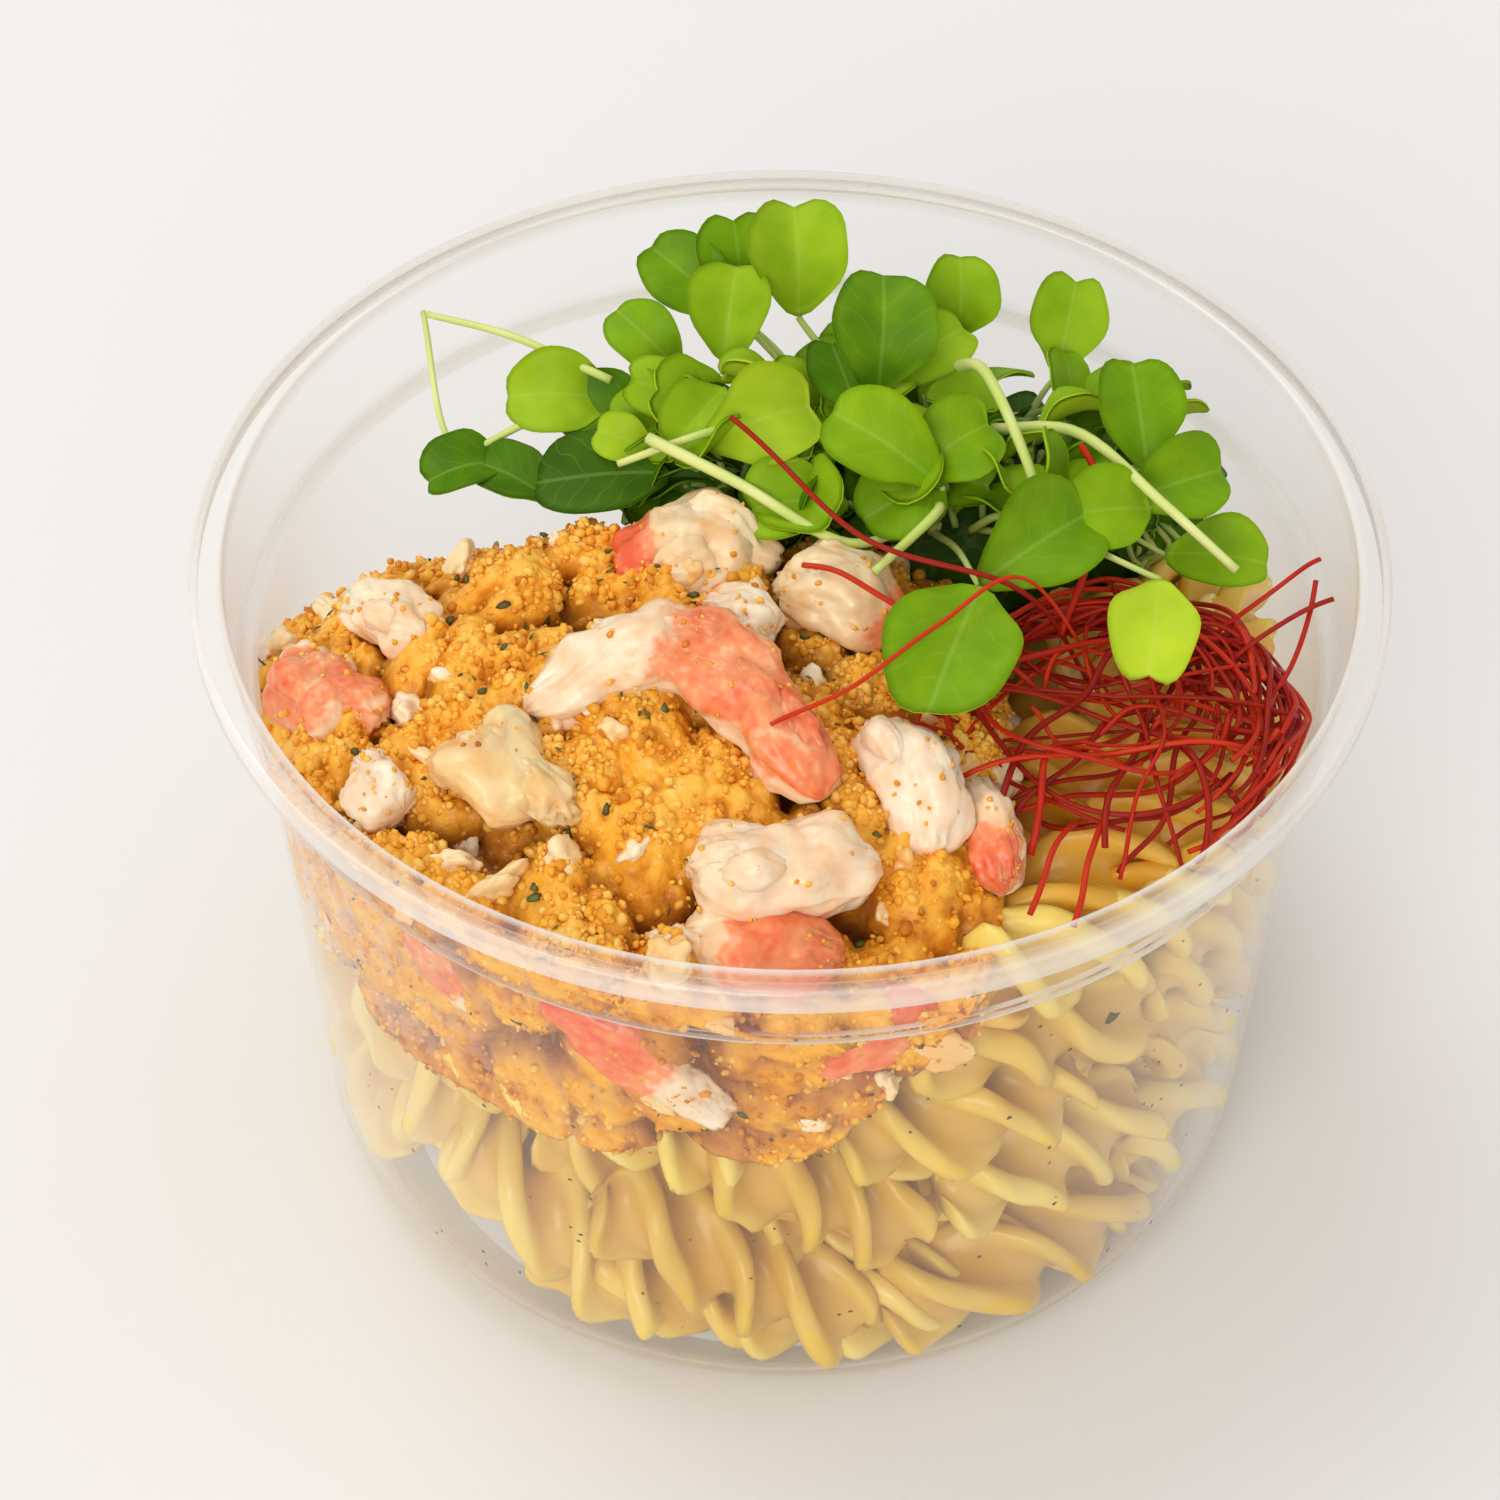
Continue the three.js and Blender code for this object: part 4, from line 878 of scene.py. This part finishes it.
# Prawn pieces: places along the middle, width, thickness, ends, red from and to along the piece, warmth
PRAWNS = [
    ([(-25, -23, 74), (-15, -18, 77), (-6, -21, 77), (3, -33, 73)], 10, 7, (0.35, 0.7), (0.42, 1.1), 0.1),
    ([(-9, -41.5, 70.5), (0, -41, 72), (8, -38.5, 70)], 11, 8.5, (0.8, 0.5), (1.2, 1.3), 0.15),
    ([(9, -22, 71.5), (12, -29, 71.5), (13, -36, 68.5)], 8, 6, (0.6, 0.7), (1.2, 1.3), 0.0),
    ([(-17, -3, 72.5), (-10, -1, 74.5), (-4, -3, 73)], 11, 8.5, (0.7, 0.8), (-0.2, 0.34), 0.5),
    ([(-1, -6, 73.5), (5, -7, 74), (11, -9, 71.5)], 9, 7, (0.7, 0.6), (0.74, 1.2), 0.6),
    ([(-47, -7, 66), (-46, -14, 67.5), (-42, -20, 68.5)], 8.5, 6.5, (0.6, 0.7), (0.15, 0.95), 0.3),
    ([(-10, -46, 67.5), (-3, -48, 68.5), (5, -47, 66.5)], 8, 6.5, (0.7, 0.6), (0.3, 1.2), 0.2),
    ([(-31, -26, 72), (-27, -30, 73.5), (-23, -34, 72)], 10.5, 7, (0.8, 0.7), (1.2, 1.3), 0.9),
    ([(-9, -10.5, 75.5), (-5, -12, 76.5), (-2, -14.5, 75.5)], 6.5, 5, (0.7, 0.7), (-0.2, 0.25), 0.1),
    ([(-42, -3, 69), (-39, -6, 70.5), (-35, -11, 72)], 7.5, 6, (0.7, 0.6), (1.2, 1.3), 0.2),
    ([(-40, -28, 69.5), (-38, -30, 70), (-36, -32, 69.5)], 6.5, 6, (0.8, 0.8), (1.2, 1.3), 0.0),
    ([(17, -26, 67.5), (19, -32, 68), (20, -38, 65.5)], 5.5, 4.5, (0.6, 0.5), (0.5, 1.2), 0.1),
]

# Prawn pieces at the wall: two ends as (azimuth, height), then as above
WALL_PRAWNS = [
    ((-116, 61), (-96, 47), 11, 6.5, (0.9, 0.5), (-0.2, 0.62), 0.1),
    ((-134, 60), (-125, 53), 7.5, 5, (0.7, 0.7), (0.0, 0.8), 0.4),
    ((-87, 56), (-77, 60), 10, 5.5, (0.7, 0.7), (-0.2, 1.2), 0.3),
]


# Outward push of a prawn's surface: lumps, small dents and fibres along it, frayed at its ends
def prawn_relief(points, width, along, round_it, seed):
    fibre_place = np.stack([round_it * 2.4, along * 1.1 + seed, 0.3 * round_it], axis=-1)
    fibre = noise_at(fibre_place, 0.2)
    frayed = np.clip(np.abs(2 * along - 1) - 0.5, 0, 1) * 2.4
    relief = 0.2 * width * noise_at(points, 4.8, seed * 1.7)
    relief = relief + 0.4 * noise_at(points, 1.7, seed * 2.3)
    return relief + (0.3 + 0.7 * frayed) * fibre, fibre


# The body of a prawn piece: points, faces, middles, places along it and angles round it
def prawn_body(centres, width, thick, taper, rng):
    t = np.linspace(0, 1, PRAWN_STEPS)
    close = np.sqrt(np.clip(1 - (np.abs(2 * t - 1) ** 9), 0.01, 1))
    angle = circle(PRAWN_SIDES)
    squared = 1 + 0.08 * np.cos(4 * angle + rng.uniform(0, 6))
    rings = np.stack([
        (taper * close * width / 2)[:, None] * np.cos(angle) * squared,
        (taper * close * thick / 2)[:, None] * np.sin(angle) * squared,
    ], axis=-1)
    points, faces = sweep(centres, rings)
    middle = np.concatenate([np.repeat(centres, PRAWN_SIDES, axis=0), centres[[0, -1]]])
    along = np.append(np.repeat(t, PRAWN_SIDES), [0, 1])
    return points, faces, middle, along, np.append(np.tile(angle, PRAWN_STEPS), [0, 0])


# A lobe on a prawn piece, given in the same way as its body
def prawn_lobe(centres, width, thick, taper, rng):
    shape, faces = ball(4)
    last = PRAWN_STEPS - 1
    place = rng.uniform(0.12, 0.88)
    index = int(place * last)
    ahead = centres[min(index + 2, last)] - centres[max(index - 2, 0)]
    ahead = ahead / np.linalg.norm(ahead)
    side = np.cross(ahead, [0, 0, 1.0])
    up = np.cross(side, ahead)
    at = centres[index] + side * rng.uniform(-0.3, 0.3) * width * taper[index] + up * 0.16 * thick
    lump = shape * (np.array([rng.uniform(0.3, 0.5), rng.uniform(0.2, 0.3), rng.uniform(0.2, 0.32)]) * width)
    points = at + lump[:, :1] * ahead + lump[:, 1:2] * side + lump[:, 2:] * up
    along = np.clip(place + lump[:, 0] / (3 * width), 0, 1)
    round_it = np.arctan2(shape[:, 2], shape[:, 1])
    return points, [faces[:, ::-1]], np.broadcast_to(at, points.shape), along, round_it


# One prawn piece. Gives back the points of its upper side.
def add_prawn(batch, centres, width, thick, ends, red, warm, seed):
    rng = np.random.default_rng(seed)
    t = np.linspace(0, 1, PRAWN_STEPS)
    end = np.where(t < 0.5, ends[0], ends[1])
    taper = end + (1 - end) * np.sin(np.pi * t) ** 0.7
    parts = [prawn_body(centres, width, thick, taper, rng)]
    parts += [prawn_lobe(centres, width, thick, taper, rng) for lobe in range(2 + (width > 8))]
    outer = []
    for points, faces, middle, along, round_it in parts:
        out = points - middle
        reach = np.linalg.norm(out, axis=1)
        way = out / np.maximum(reach, 1e-6)[:, None]
        relief, fibre = prawn_relief(points, width, along, round_it, seed)
        points = keep_in_cup(points + way * (relief * np.minimum(reach / (0.22 * width), 1))[:, None])
        upward = smooth(-0.6, 0.4, way[:, 2])
        if np.hypot(*centres[PRAWN_STEPS // 2, :2]) > 44:
            upward = np.ones_like(upward)
        skin = smooth(red[0] - 0.14, red[0] + 0.14, along) * (1 - smooth(red[1] - 0.14, red[1] + 0.14, along))
        batch.add(points, faces, skin=skin * upward * rng.uniform(0.55, 0.8), fibre=0.5 * fibre, warm=warm)
        outer.append(points[points[:, 2] > points[:, 2].mean()])
    return np.concatenate(outer)


def add_prawns():
    material = prawn_material()
    pieces = [(curve_through(places, PRAWN_STEPS), *rest) for places, *rest in PRAWNS]
    for start, end, width, thick, *rest in WALL_PRAWNS:
        azimuth, height = np.linspace(start, end, PRAWN_STEPS).T
        centres = around(np.radians(azimuth), inner_radius(height) - thick / 2 + 0.5, height)
        pieces.append((centres, width, thick, *rest))
    sticky = []
    for number, piece in enumerate(pieces, 1):
        batch = Batch()
        outer = add_prawn(batch, *piece, number)
        if number <= len(PRAWNS):
            sticky.append(outer)
        make_piece(f"prawn_piece_{number}", batch, material, [f"prawn_{number}"])
    return np.concatenate(sticky)


# The leaves: middle, length, heading, rise, roll, tone and painted shade from dark 0 to pale 1
GREEN_LEAVES = [
    ((0.5, 31, 86), 11, 95, 45, 0, 0.72), ((-5.5, 34, 83), 9, 100, 50, 10, 0.5),
    ((-11, 32, 82), 9.5, 150, 25, -35, 0.45), ((-6, 27, 82), 9, 80, 40, 0, 0.68),
    ((-15, 26, 79), 8.5, 140, 20, -30, 0.55), ((-24, 21, 75), 10, 180, 0, -35, 0.75),
    ((-19, 20, 73), 9, 170, 10, -20, 0.35), ((-13, 17.5, 79), 8, 170, 10, -30, 0.7),
    ((-9.5, 12.5, 79), 8, 230, -20, -20, 0.68), ((-17, 12.5, 77), 5.5, 165, 10, -40, 0.8),
    ((-2, 10, 82), 10, 15, 10, 40, 0.82), ((-33, 14, 71), 8.5, 200, -5, -15, 0.3),
    ((-28, 13, 71), 8, 150, 5, -10, 0.25), ((9, 19.5, 86), 11, 88, 40, 8, 0.38),
    ((5, 18, 81), 8, 110, 20, 0, 0.3), ((14.5, 21, 82), 9, 40, 10, 25, 0.7),
    ((17, 28, 83), 8, 90, 50, 5, 0.65), ((28, 27, 81), 9, 75, 40, 10, 0.66),
    ((34, 12, 82), 10, 100, 35, -5, 0.48), ((38.5, 5.5, 78), 9, 20, 5, 35, 0.5),
    ((30, 0, 79), 8.5, 195, 5, -35, 0.62), ((24.5, -4, 79), 11.5, 35, 10, 30, 0.45),
    ((34, -17.5, 79.5), 10, 262, -25, 0, 0.95), ((25, 3.5, 82), 8, 90, 40, 70, 0.55),
    ((8, 6, 83), 11, 150, 15, -30, 0.6), ((16.5, 7, 82), 9, 30, 15, 30, 0.55),
    ((10.5, 2.5, 78), 9, 210, -10, -30, 0.5), ((42.5, 0, 73), 9, 350, 0, 25, 0.6),
    ((0, 5, 76), 9, 240, -20, 20, 0.3),
]
FRONT_LEAF = ((15, -19, 77.5), 14, 250, -12, 0, 0.52)
DARK_LEAF = ((-19.5, 9.2, 74.6), 12, 185, -4, -15, 0.12)

# Pale stems that lie on top of the heap
GREEN_STEMS = [
    ([(-14, 9, 80), (-5, 3, 79.5), (5, -3, 77.5), (12, 3, 74)], 0.62),
    ([(16, 20, 80), (19, 14, 84.5), (23, 3, 82), (24, -1, 79)], 0.65),
    ([(20, 13, 78), (28, 8, 82), (36, 0, 80), (43, -5, 76)], 0.62),
    ([(14, 4, 76), (14, -1, 79.5), (8, -7.5, 77.8)], 0.6),
    ([(-18, 21, 77), (-28, 27, 77.5), (-37, 31, 77)], 0.45),
    ([(-26, 18, 74), (-34, 17.5, 71.5), (-37.5, 32, 76.5)], 0.4),
    ([(-2, 14, 78), (-8, 10, 80), (-17, 8.5, 77)], 0.5),
]


# One leaf with a notch at its tip, folded and bent. Gives back the foot where its stem ends.
def add_leaf(batch, at, length, heading, rise, roll, shade, rng, cup=0.16):
    tip, flat, roll = direction(heading, rise), direction(heading + 90), math.radians(roll)
    side = flat * math.cos(roll) + np.cross(tip, flat) * math.sin(roll)
    face = np.cross(tip, side)
    turn = np.linspace(-np.pi, np.pi, LEAF_SPOKES, endpoint=False)
    out = (np.arange(1, LEAF_RINGS + 1) / LEAF_RINGS)[:, None]
    reach = 0.49 - rng.uniform(0.06, 0.17) * peak(turn, 0.3) + 0.03 * np.cos(2 * turn - 0.3)
    reach = reach + rng.uniform(0.06, 0.2) * peak(np.abs(turn) - np.pi, 0.34)
    uneven = 1 + 0.03 * np.sin(3 * turn + rng.uniform(0, 6)) + 0.02 * np.sin(5 * turn + rng.uniform(0, 6))
    reach = reach * uneven
    along = np.append(0, out * reach * np.cos(turn))
    across = np.append(0, out * reach * np.sin(turn) * rng.uniform(0.84, 1.1))
    edge = np.append(0, np.repeat(out ** 3, LEAF_SPOKES))
    angle = np.append(0, np.tile(turn, LEAF_RINGS))
    fold = rng.uniform(0.15, 0.75) * cup / 0.16
    bend = fold * np.sqrt(across ** 2 + 0.008) - rng.uniform(0.3, 1.3) * cup * (2 * along) ** 2
    bend = bend + 0.028 * edge * np.sin(2 * angle + rng.uniform(0, 6)) + 0.016 * edge * np.sin(5 * angle)
    bend = bend + rng.uniform(-0.25, 0.25) * across * along
    sheet = at + length * (np.outer(along, tip) + np.outer(across, side) + np.outer(bend, face))
    points = np.concatenate([sheet + face * LEAF_THICKNESS / 2, sheet - face * LEAF_THICKNESS / 2])
    k = np.arange(LEAF_SPOKES)
    nxt = (k + 1) % LEAF_SPOKES
    ring = 1 + np.arange(LEAF_RINGS - 1)[:, None] * LEAF_SPOKES
    blade = np.stack([ring + k, ring + LEAF_SPOKES + k, ring + LEAF_SPOKES + nxt, ring + nxt], axis=-1)
    blade = blade.reshape(-1, 4)
    fan = np.stack([np.zeros(LEAF_SPOKES, int), 1 + k, 1 + nxt], axis=-1)
    rim, under = 1 + (LEAF_RINGS - 1) * LEAF_SPOKES, len(sheet)
    hem = np.stack([rim + k, under + rim + k, under + rim + nxt, rim + nxt], axis=-1)
    faces = [blade[:, ::-1], fan[:, ::-1], blade + under, fan + under, hem]
    tone = np.repeat([shade, min(shade + 0.22, 1)], len(sheet))
    batch.add(points, faces, along=np.tile(along + 0.5, 2), across=np.tile(2 * across, 2), shade=tone)
    return sheet[rim]


def add_stem(batch, places, radius, shade, count=14):
    radii = radius * (1 - 0.25 * np.linspace(0, 1, count))
    points, faces = sweep(curve_through(places, count), round_rings(radii, 8))
    batch.add(points, faces, shade=shade)


# Where a leaf's stem starts in the heap
def stem_root(base):
    away = (base[:2] - GREENS_CENTRE) / GREENS_REACH
    inward = min(1, 0.75 / math.hypot(*away))
    return np.array([*(GREENS_CENTRE + GREENS_REACH * away * inward), GREENS_TOP_HEIGHT - 5])


# Small leaves scattered through the heap, with painted shade that makes them dark below and paler on top
def small_leaf(rng):
    angle = rng.uniform(0, 2 * np.pi)
    out = math.sqrt(rng.uniform(0, 1))
    size = rng.uniform(4.5, 9.5)
    x = GREENS_CENTRE[0] + 1.12 * GREENS_REACH[0] * out * math.cos(angle)
    y = GREENS_CENTRE[1] + 1.35 * GREENS_REACH[1] * out * math.sin(angle)
    z = GREENS_TOP_HEIGHT - 3 * out + rng.uniform(-3, 6.5)
    heading = math.degrees(angle) + rng.uniform(-60, 60)
    # Lower leaves get a darker green as painted shade
    shade = float(np.clip(0.1 + 0.07 * (z - 71) + rng.uniform(-0.12, 0.15), 0.02, 0.8))
    return (x, y, z), size, heading, rng.uniform(-15, 50), rng.uniform(-50, 50), shade


# The inside of the heap, down to the pasta, in the darkest green as painted shade
def add_heart(batch):
    angle = circle(HEART_SPOKES)
    top = GREENS_TOP_HEIGHT - 3
    layers = []
    for out in np.linspace(0, 1, HEART_RINGS + 1)[1:]:
        x = GREENS_CENTRE[0] + 0.93 * GREENS_REACH[0] * out * np.cos(angle)
        y = GREENS_CENTRE[1] + 0.93 * GREENS_REACH[1] * out * np.sin(angle)
        z = top - 7 * out ** 2 + 1.2 * np.sin(0.9 * x) * np.cos(1.1 * y)
        layers.append(np.stack([x, y, z], axis=-1))
    x, y, z = layers[-1].T
    low = np.maximum(pasta_top(x, y) - 2, 40)
    layers += [np.stack([x, y, z + depth * (low - z)], axis=-1) for depth in np.linspace(0, 1, 6)[1:]]
    faces = flipped(ring_faces(len(layers), HEART_SPOKES))
    ends = np.array([[*GREENS_CENTRE, top], layers[-1].mean(axis=0)])
    batch.add(np.concatenate([*layers, ends]), faces, along=0.3, across=0.5, shade=0.0)


def add_greens():
    rng = np.random.default_rng(31)
    leaves, stems, heart = Batch(), Batch(), Batch()
    rows = GREEN_LEAVES + [small_leaf(rng) for number in range(SMALL_LEAVES)]
    for number, row in enumerate(rows):
        base = add_leaf(leaves, *row, rng)
        root = stem_root(base)
        knee = (root + base) / 2 + np.array([rng.uniform(-1, 1), rng.uniform(-1, 1), 1.5])
        thick = STEM_RADIUS * rng.uniform(0.7, 1.1)
        # Stems of the small leaves inside the heap are darker as painted shade
        add_stem(stems, [root, knee, base], thick, 0.75 if number < len(GREEN_LEAVES) else 0.35)
    for places, radius in GREEN_STEMS:
        add_stem(stems, places, radius, 1.0, 24)
    for number in range(HANGING_STEMS):
        angle = rng.uniform(math.radians(-30), math.radians(210))
        way = np.array([math.cos(angle), math.sin(angle)])
        edge = GREENS_CENTRE + way * GREENS_REACH
        low = float(pasta_top(*edge)) + 1
        if number % 2:
            at = (*edge, rng.uniform(low + 3, GREENS_TOP_HEIGHT - 4))
            heading = math.degrees(angle) + rng.uniform(-50, 50)
            size, rise, roll = rng.uniform(6, 10), rng.uniform(-85, -20), rng.uniform(-40, 40)
            # Leaves hanging at the heap's side are darker as painted shade
            add_leaf(leaves, at, size, heading, rise, roll, rng.uniform(0.1, 0.55), rng)
        top = np.array([*(GREENS_CENTRE + 0.9 * way * GREENS_REACH), GREENS_TOP_HEIGHT - 3])
        knee = np.array([*(edge + 1.5 * way + rng.uniform(-3, 3, 2)), (low + top[2]) / 2])
        foot = np.array([*(edge + rng.uniform(-2, 2, 2)), low])
        add_stem(stems, [top, knee, foot], STEM_RADIUS * rng.uniform(0.7, 1), rng.uniform(0.4, 0.9))
    add_heart(heart)
    leaf = leaf_material()
    make_piece("green_leaves", leaves, leaf, ["microgreens"])
    make_piece("green_heart", heart, leaf)
    make_piece("green_stems", stems, stem_material())
    for name, row, node in (("large_leaf", FRONT_LEAF, "leaf_front"), ("dark_leaf", DARK_LEAF, "leaf_dark")):
        single = Batch()
        add_leaf(single, *row, rng, cup=0.09)
        make_piece(name, single, leaf, [node])


# Chili threads that leave the nest
STRAY_THREADS = [
    [(29, -10, 66), (21, -9.5, 78), (6, -4.5, 80.5), (-6, 8, 83.5)],
    [(31, -12, 66), (22, -11, 80), (14, -17, 80.5), (5, -25, 79), (-2, -29, 78.5)],
    [(38, -14, 66), (45, -11, 73), (52, -8.5, 75.5)],
    [(36, -10, 66), (46, -7, 75), (51, -4, 76.5)],
    [(28, -28, 65), (25, -35, 70), (22, -42, 67)],
    [(30, -27, 67), (28, -36, 69), (26, -43, 66.5)],
    [(42, -20, 68), (48, -14, 72), (50.5, -6, 75.5)],
    [(24, -16, 70), (17, -14, 75), (7, -10, 78.5), (1, -7, 78)],
    [(26, -10, 72), (30, 0, 79), (28, 6, 82)],
]


# A flat thread laid in the nest: inside its edge and the cup, and on the food below
def settle_thread(x, y, depth, rng):
    t = np.linspace(0, 1, len(x))
    out = np.hypot(x - NEST_CENTRE[0], y - NEST_CENTRE[1])
    scale = np.minimum(1, (NEST_REACH - rng.uniform(0.2, 2)) / np.maximum(out, 1e-6))
    x = NEST_CENTRE[0] + (x - NEST_CENTRE[0]) * scale
    y = NEST_CENTRE[1] + (y - NEST_CENTRE[1]) * scale
    inside = np.minimum(1, rng.uniform(51, 52.6) / np.hypot(x, y))
    x, y = x * inside, y * inside
    z = nest_top(x, y) - depth + 0.8 * np.sin(rng.uniform(1, 5) * t * np.pi + rng.uniform(0, 6))
    z = np.where(x < 20, np.maximum(z, mix_top(x, y) + 1.6), z)
    return np.stack([x, y, np.maximum(z, pasta_top(x, y) + 1.2)], axis=-1)


def add_thread(batch, centres, rng, sides=6):
    radii = THREAD_RADIUS * rng.uniform(0.7, 1.25) * np.ones(len(centres))
    points, faces = sweep(centres, round_rings(radii, sides) * [1.2, 0.85])
    batch.add(points, faces, tint=rng.uniform(0, 1))


# Threads that curl round the nest, most of them along its back and right
def curled_thread(rng, t):
    behind = rng.uniform() < 0.75
    start = math.radians(rng.uniform(-75, 60) if behind else rng.uniform(0, 360))
    radius = rng.uniform(12.5, 19) if behind else rng.uniform(6, 16)
    angle = start + rng.uniform(0.9, 2.9) * t
    wobble = 1 + 0.08 * np.sin(rng.uniform(1.5, 4) * angle + rng.uniform(0, 6))
    centre = np.array(NEST_CENTRE) + rng.normal(0, 1.6, 2)
    return centre[0] + radius * wobble * np.cos(angle), centre[1] + radius * wobble * np.sin(angle)


# Threads that cross the nest from edge to edge
def crossing_thread(rng, t):
    start = rng.uniform(0, 2 * np.pi)
    end = start + rng.uniform(1.6, 4.2)
    ends = [np.array([math.cos(a), math.sin(a)]) * NEST_REACH * rng.uniform(0.75, 1) for a in (start, end)]
    pull = rng.normal(0, 9, 2)
    line = np.outer((1 - t) ** 2, ends[0]) + np.outer(2 * t * (1 - t), pull) + np.outer(t ** 2, ends[1])
    ripple = 0.5 * np.sin(rng.uniform(2, 6) * np.pi * t + rng.uniform(0, 6))
    return NEST_CENTRE[0] + line[:, 0] + ripple, NEST_CENTRE[1] + line[:, 1] - ripple


def add_chili():
    rng = np.random.default_rng(77)
    batch = Batch()
    t = np.linspace(0, 1, 44)
    for number in range(CURLED_THREADS):
        add_thread(batch, settle_thread(*curled_thread(rng, t), rng.uniform(0, 6.5), rng), rng)
    for number in range(CROSSING_THREADS):
        add_thread(batch, settle_thread(*crossing_thread(rng, t), rng.uniform(0, 6), rng), rng)
    for places in STRAY_THREADS:
        centres = curve_through(places, 60)
        centres += 0.25 * np.sin(np.linspace(0, 9, 60))[:, None]
        add_thread(batch, centres, rng, 8)
    make_piece("chili_threads", batch, chili_material(), ["chili_nest"])


# The floor and the lamps
def add_stage():
    look = Look("floor", 0.75)
    mesh = bpy.data.meshes.new("floor")
    corners = [(x * FLOOR_REACH, y * FLOOR_REACH, 0) for x, y in ((-1, -1), (1, -1), (1, 1), (-1, 1))]
    mesh.from_pydata(corners, [], [(0, 1, 2, 3)])
    tone = look.ramp(look.noise(3, 2), (0.3, 0.82, 0.81, 0.80), (0.7, 0.85, 0.84, 0.83))
    mesh.materials.append(look.coloured(tone))
    floor = add_object("floor", mesh)

    world = bpy.data.worlds.new("studio")
    bpy.context.scene.world = world
    world.use_nodes = True
    background = world.node_tree.nodes["Background"]
    background.inputs["Color"].default_value = (1.0, 0.99, 0.98, 1)
    background.inputs["Strength"].default_value = ROOM_LIGHT
    for name, place, size, power in LAMPS:
        light = bpy.data.lights.new(name, "AREA")
        light.shape = "DISK"
        light.size = size
        light.energy = power
        light.color = LAMP_COLOUR
        lamp = add_object(name, light)
        lamp.location = place
        lamp.rotation_euler = (Vector(LAMP_TARGET) - Vector(place)).to_track_quat("-Z", "Y").to_euler()


# The camera stands in front of the cup and looks down at it
def add_camera():
    back = np.array([0, -math.cos(CAMERA_ELEVATION), math.sin(CAMERA_ELEVATION)])
    right = np.array([1.0, 0, 0])
    up = np.cross(right, -back)
    cosine, sine = math.cos(CAMERA_ROLL), math.sin(CAMERA_ROLL)
    matrix = np.eye(4)
    matrix[:3, 0] = cosine * right + sine * up
    matrix[:3, 1] = -sine * right + cosine * up
    matrix[:3, 2] = back
    matrix[:3, 3] = (back * CAMERA_DISTANCE + np.array(CAMERA_TARGET)) * MM
    camera = bpy.data.cameras.new("camera")
    camera.sensor_width = CAMERA_SENSOR
    camera.lens = CAMERA_LENS
    camera.clip_start = 0.01
    holder = add_object("camera", camera)
    holder.matrix_world = Matrix(matrix.tolist())
    bpy.context.scene.camera = holder


add_stage()
add_camera()
add_cup()
add_pasta()
mix_surface, mix_hollow, crumb = add_mix()
upper_prawn_points = add_prawns()
random_crumbs = np.random.default_rng(5)
add_grains(mix_surface, mix_hollow, crumb, upper_prawn_points, random_crumbs)
add_bits(mix_surface, random_crumbs)
add_herbs(mix_surface, random_crumbs)
add_greens()
add_chili()
bpy.context.scene.view_settings.view_transform = "Standard"
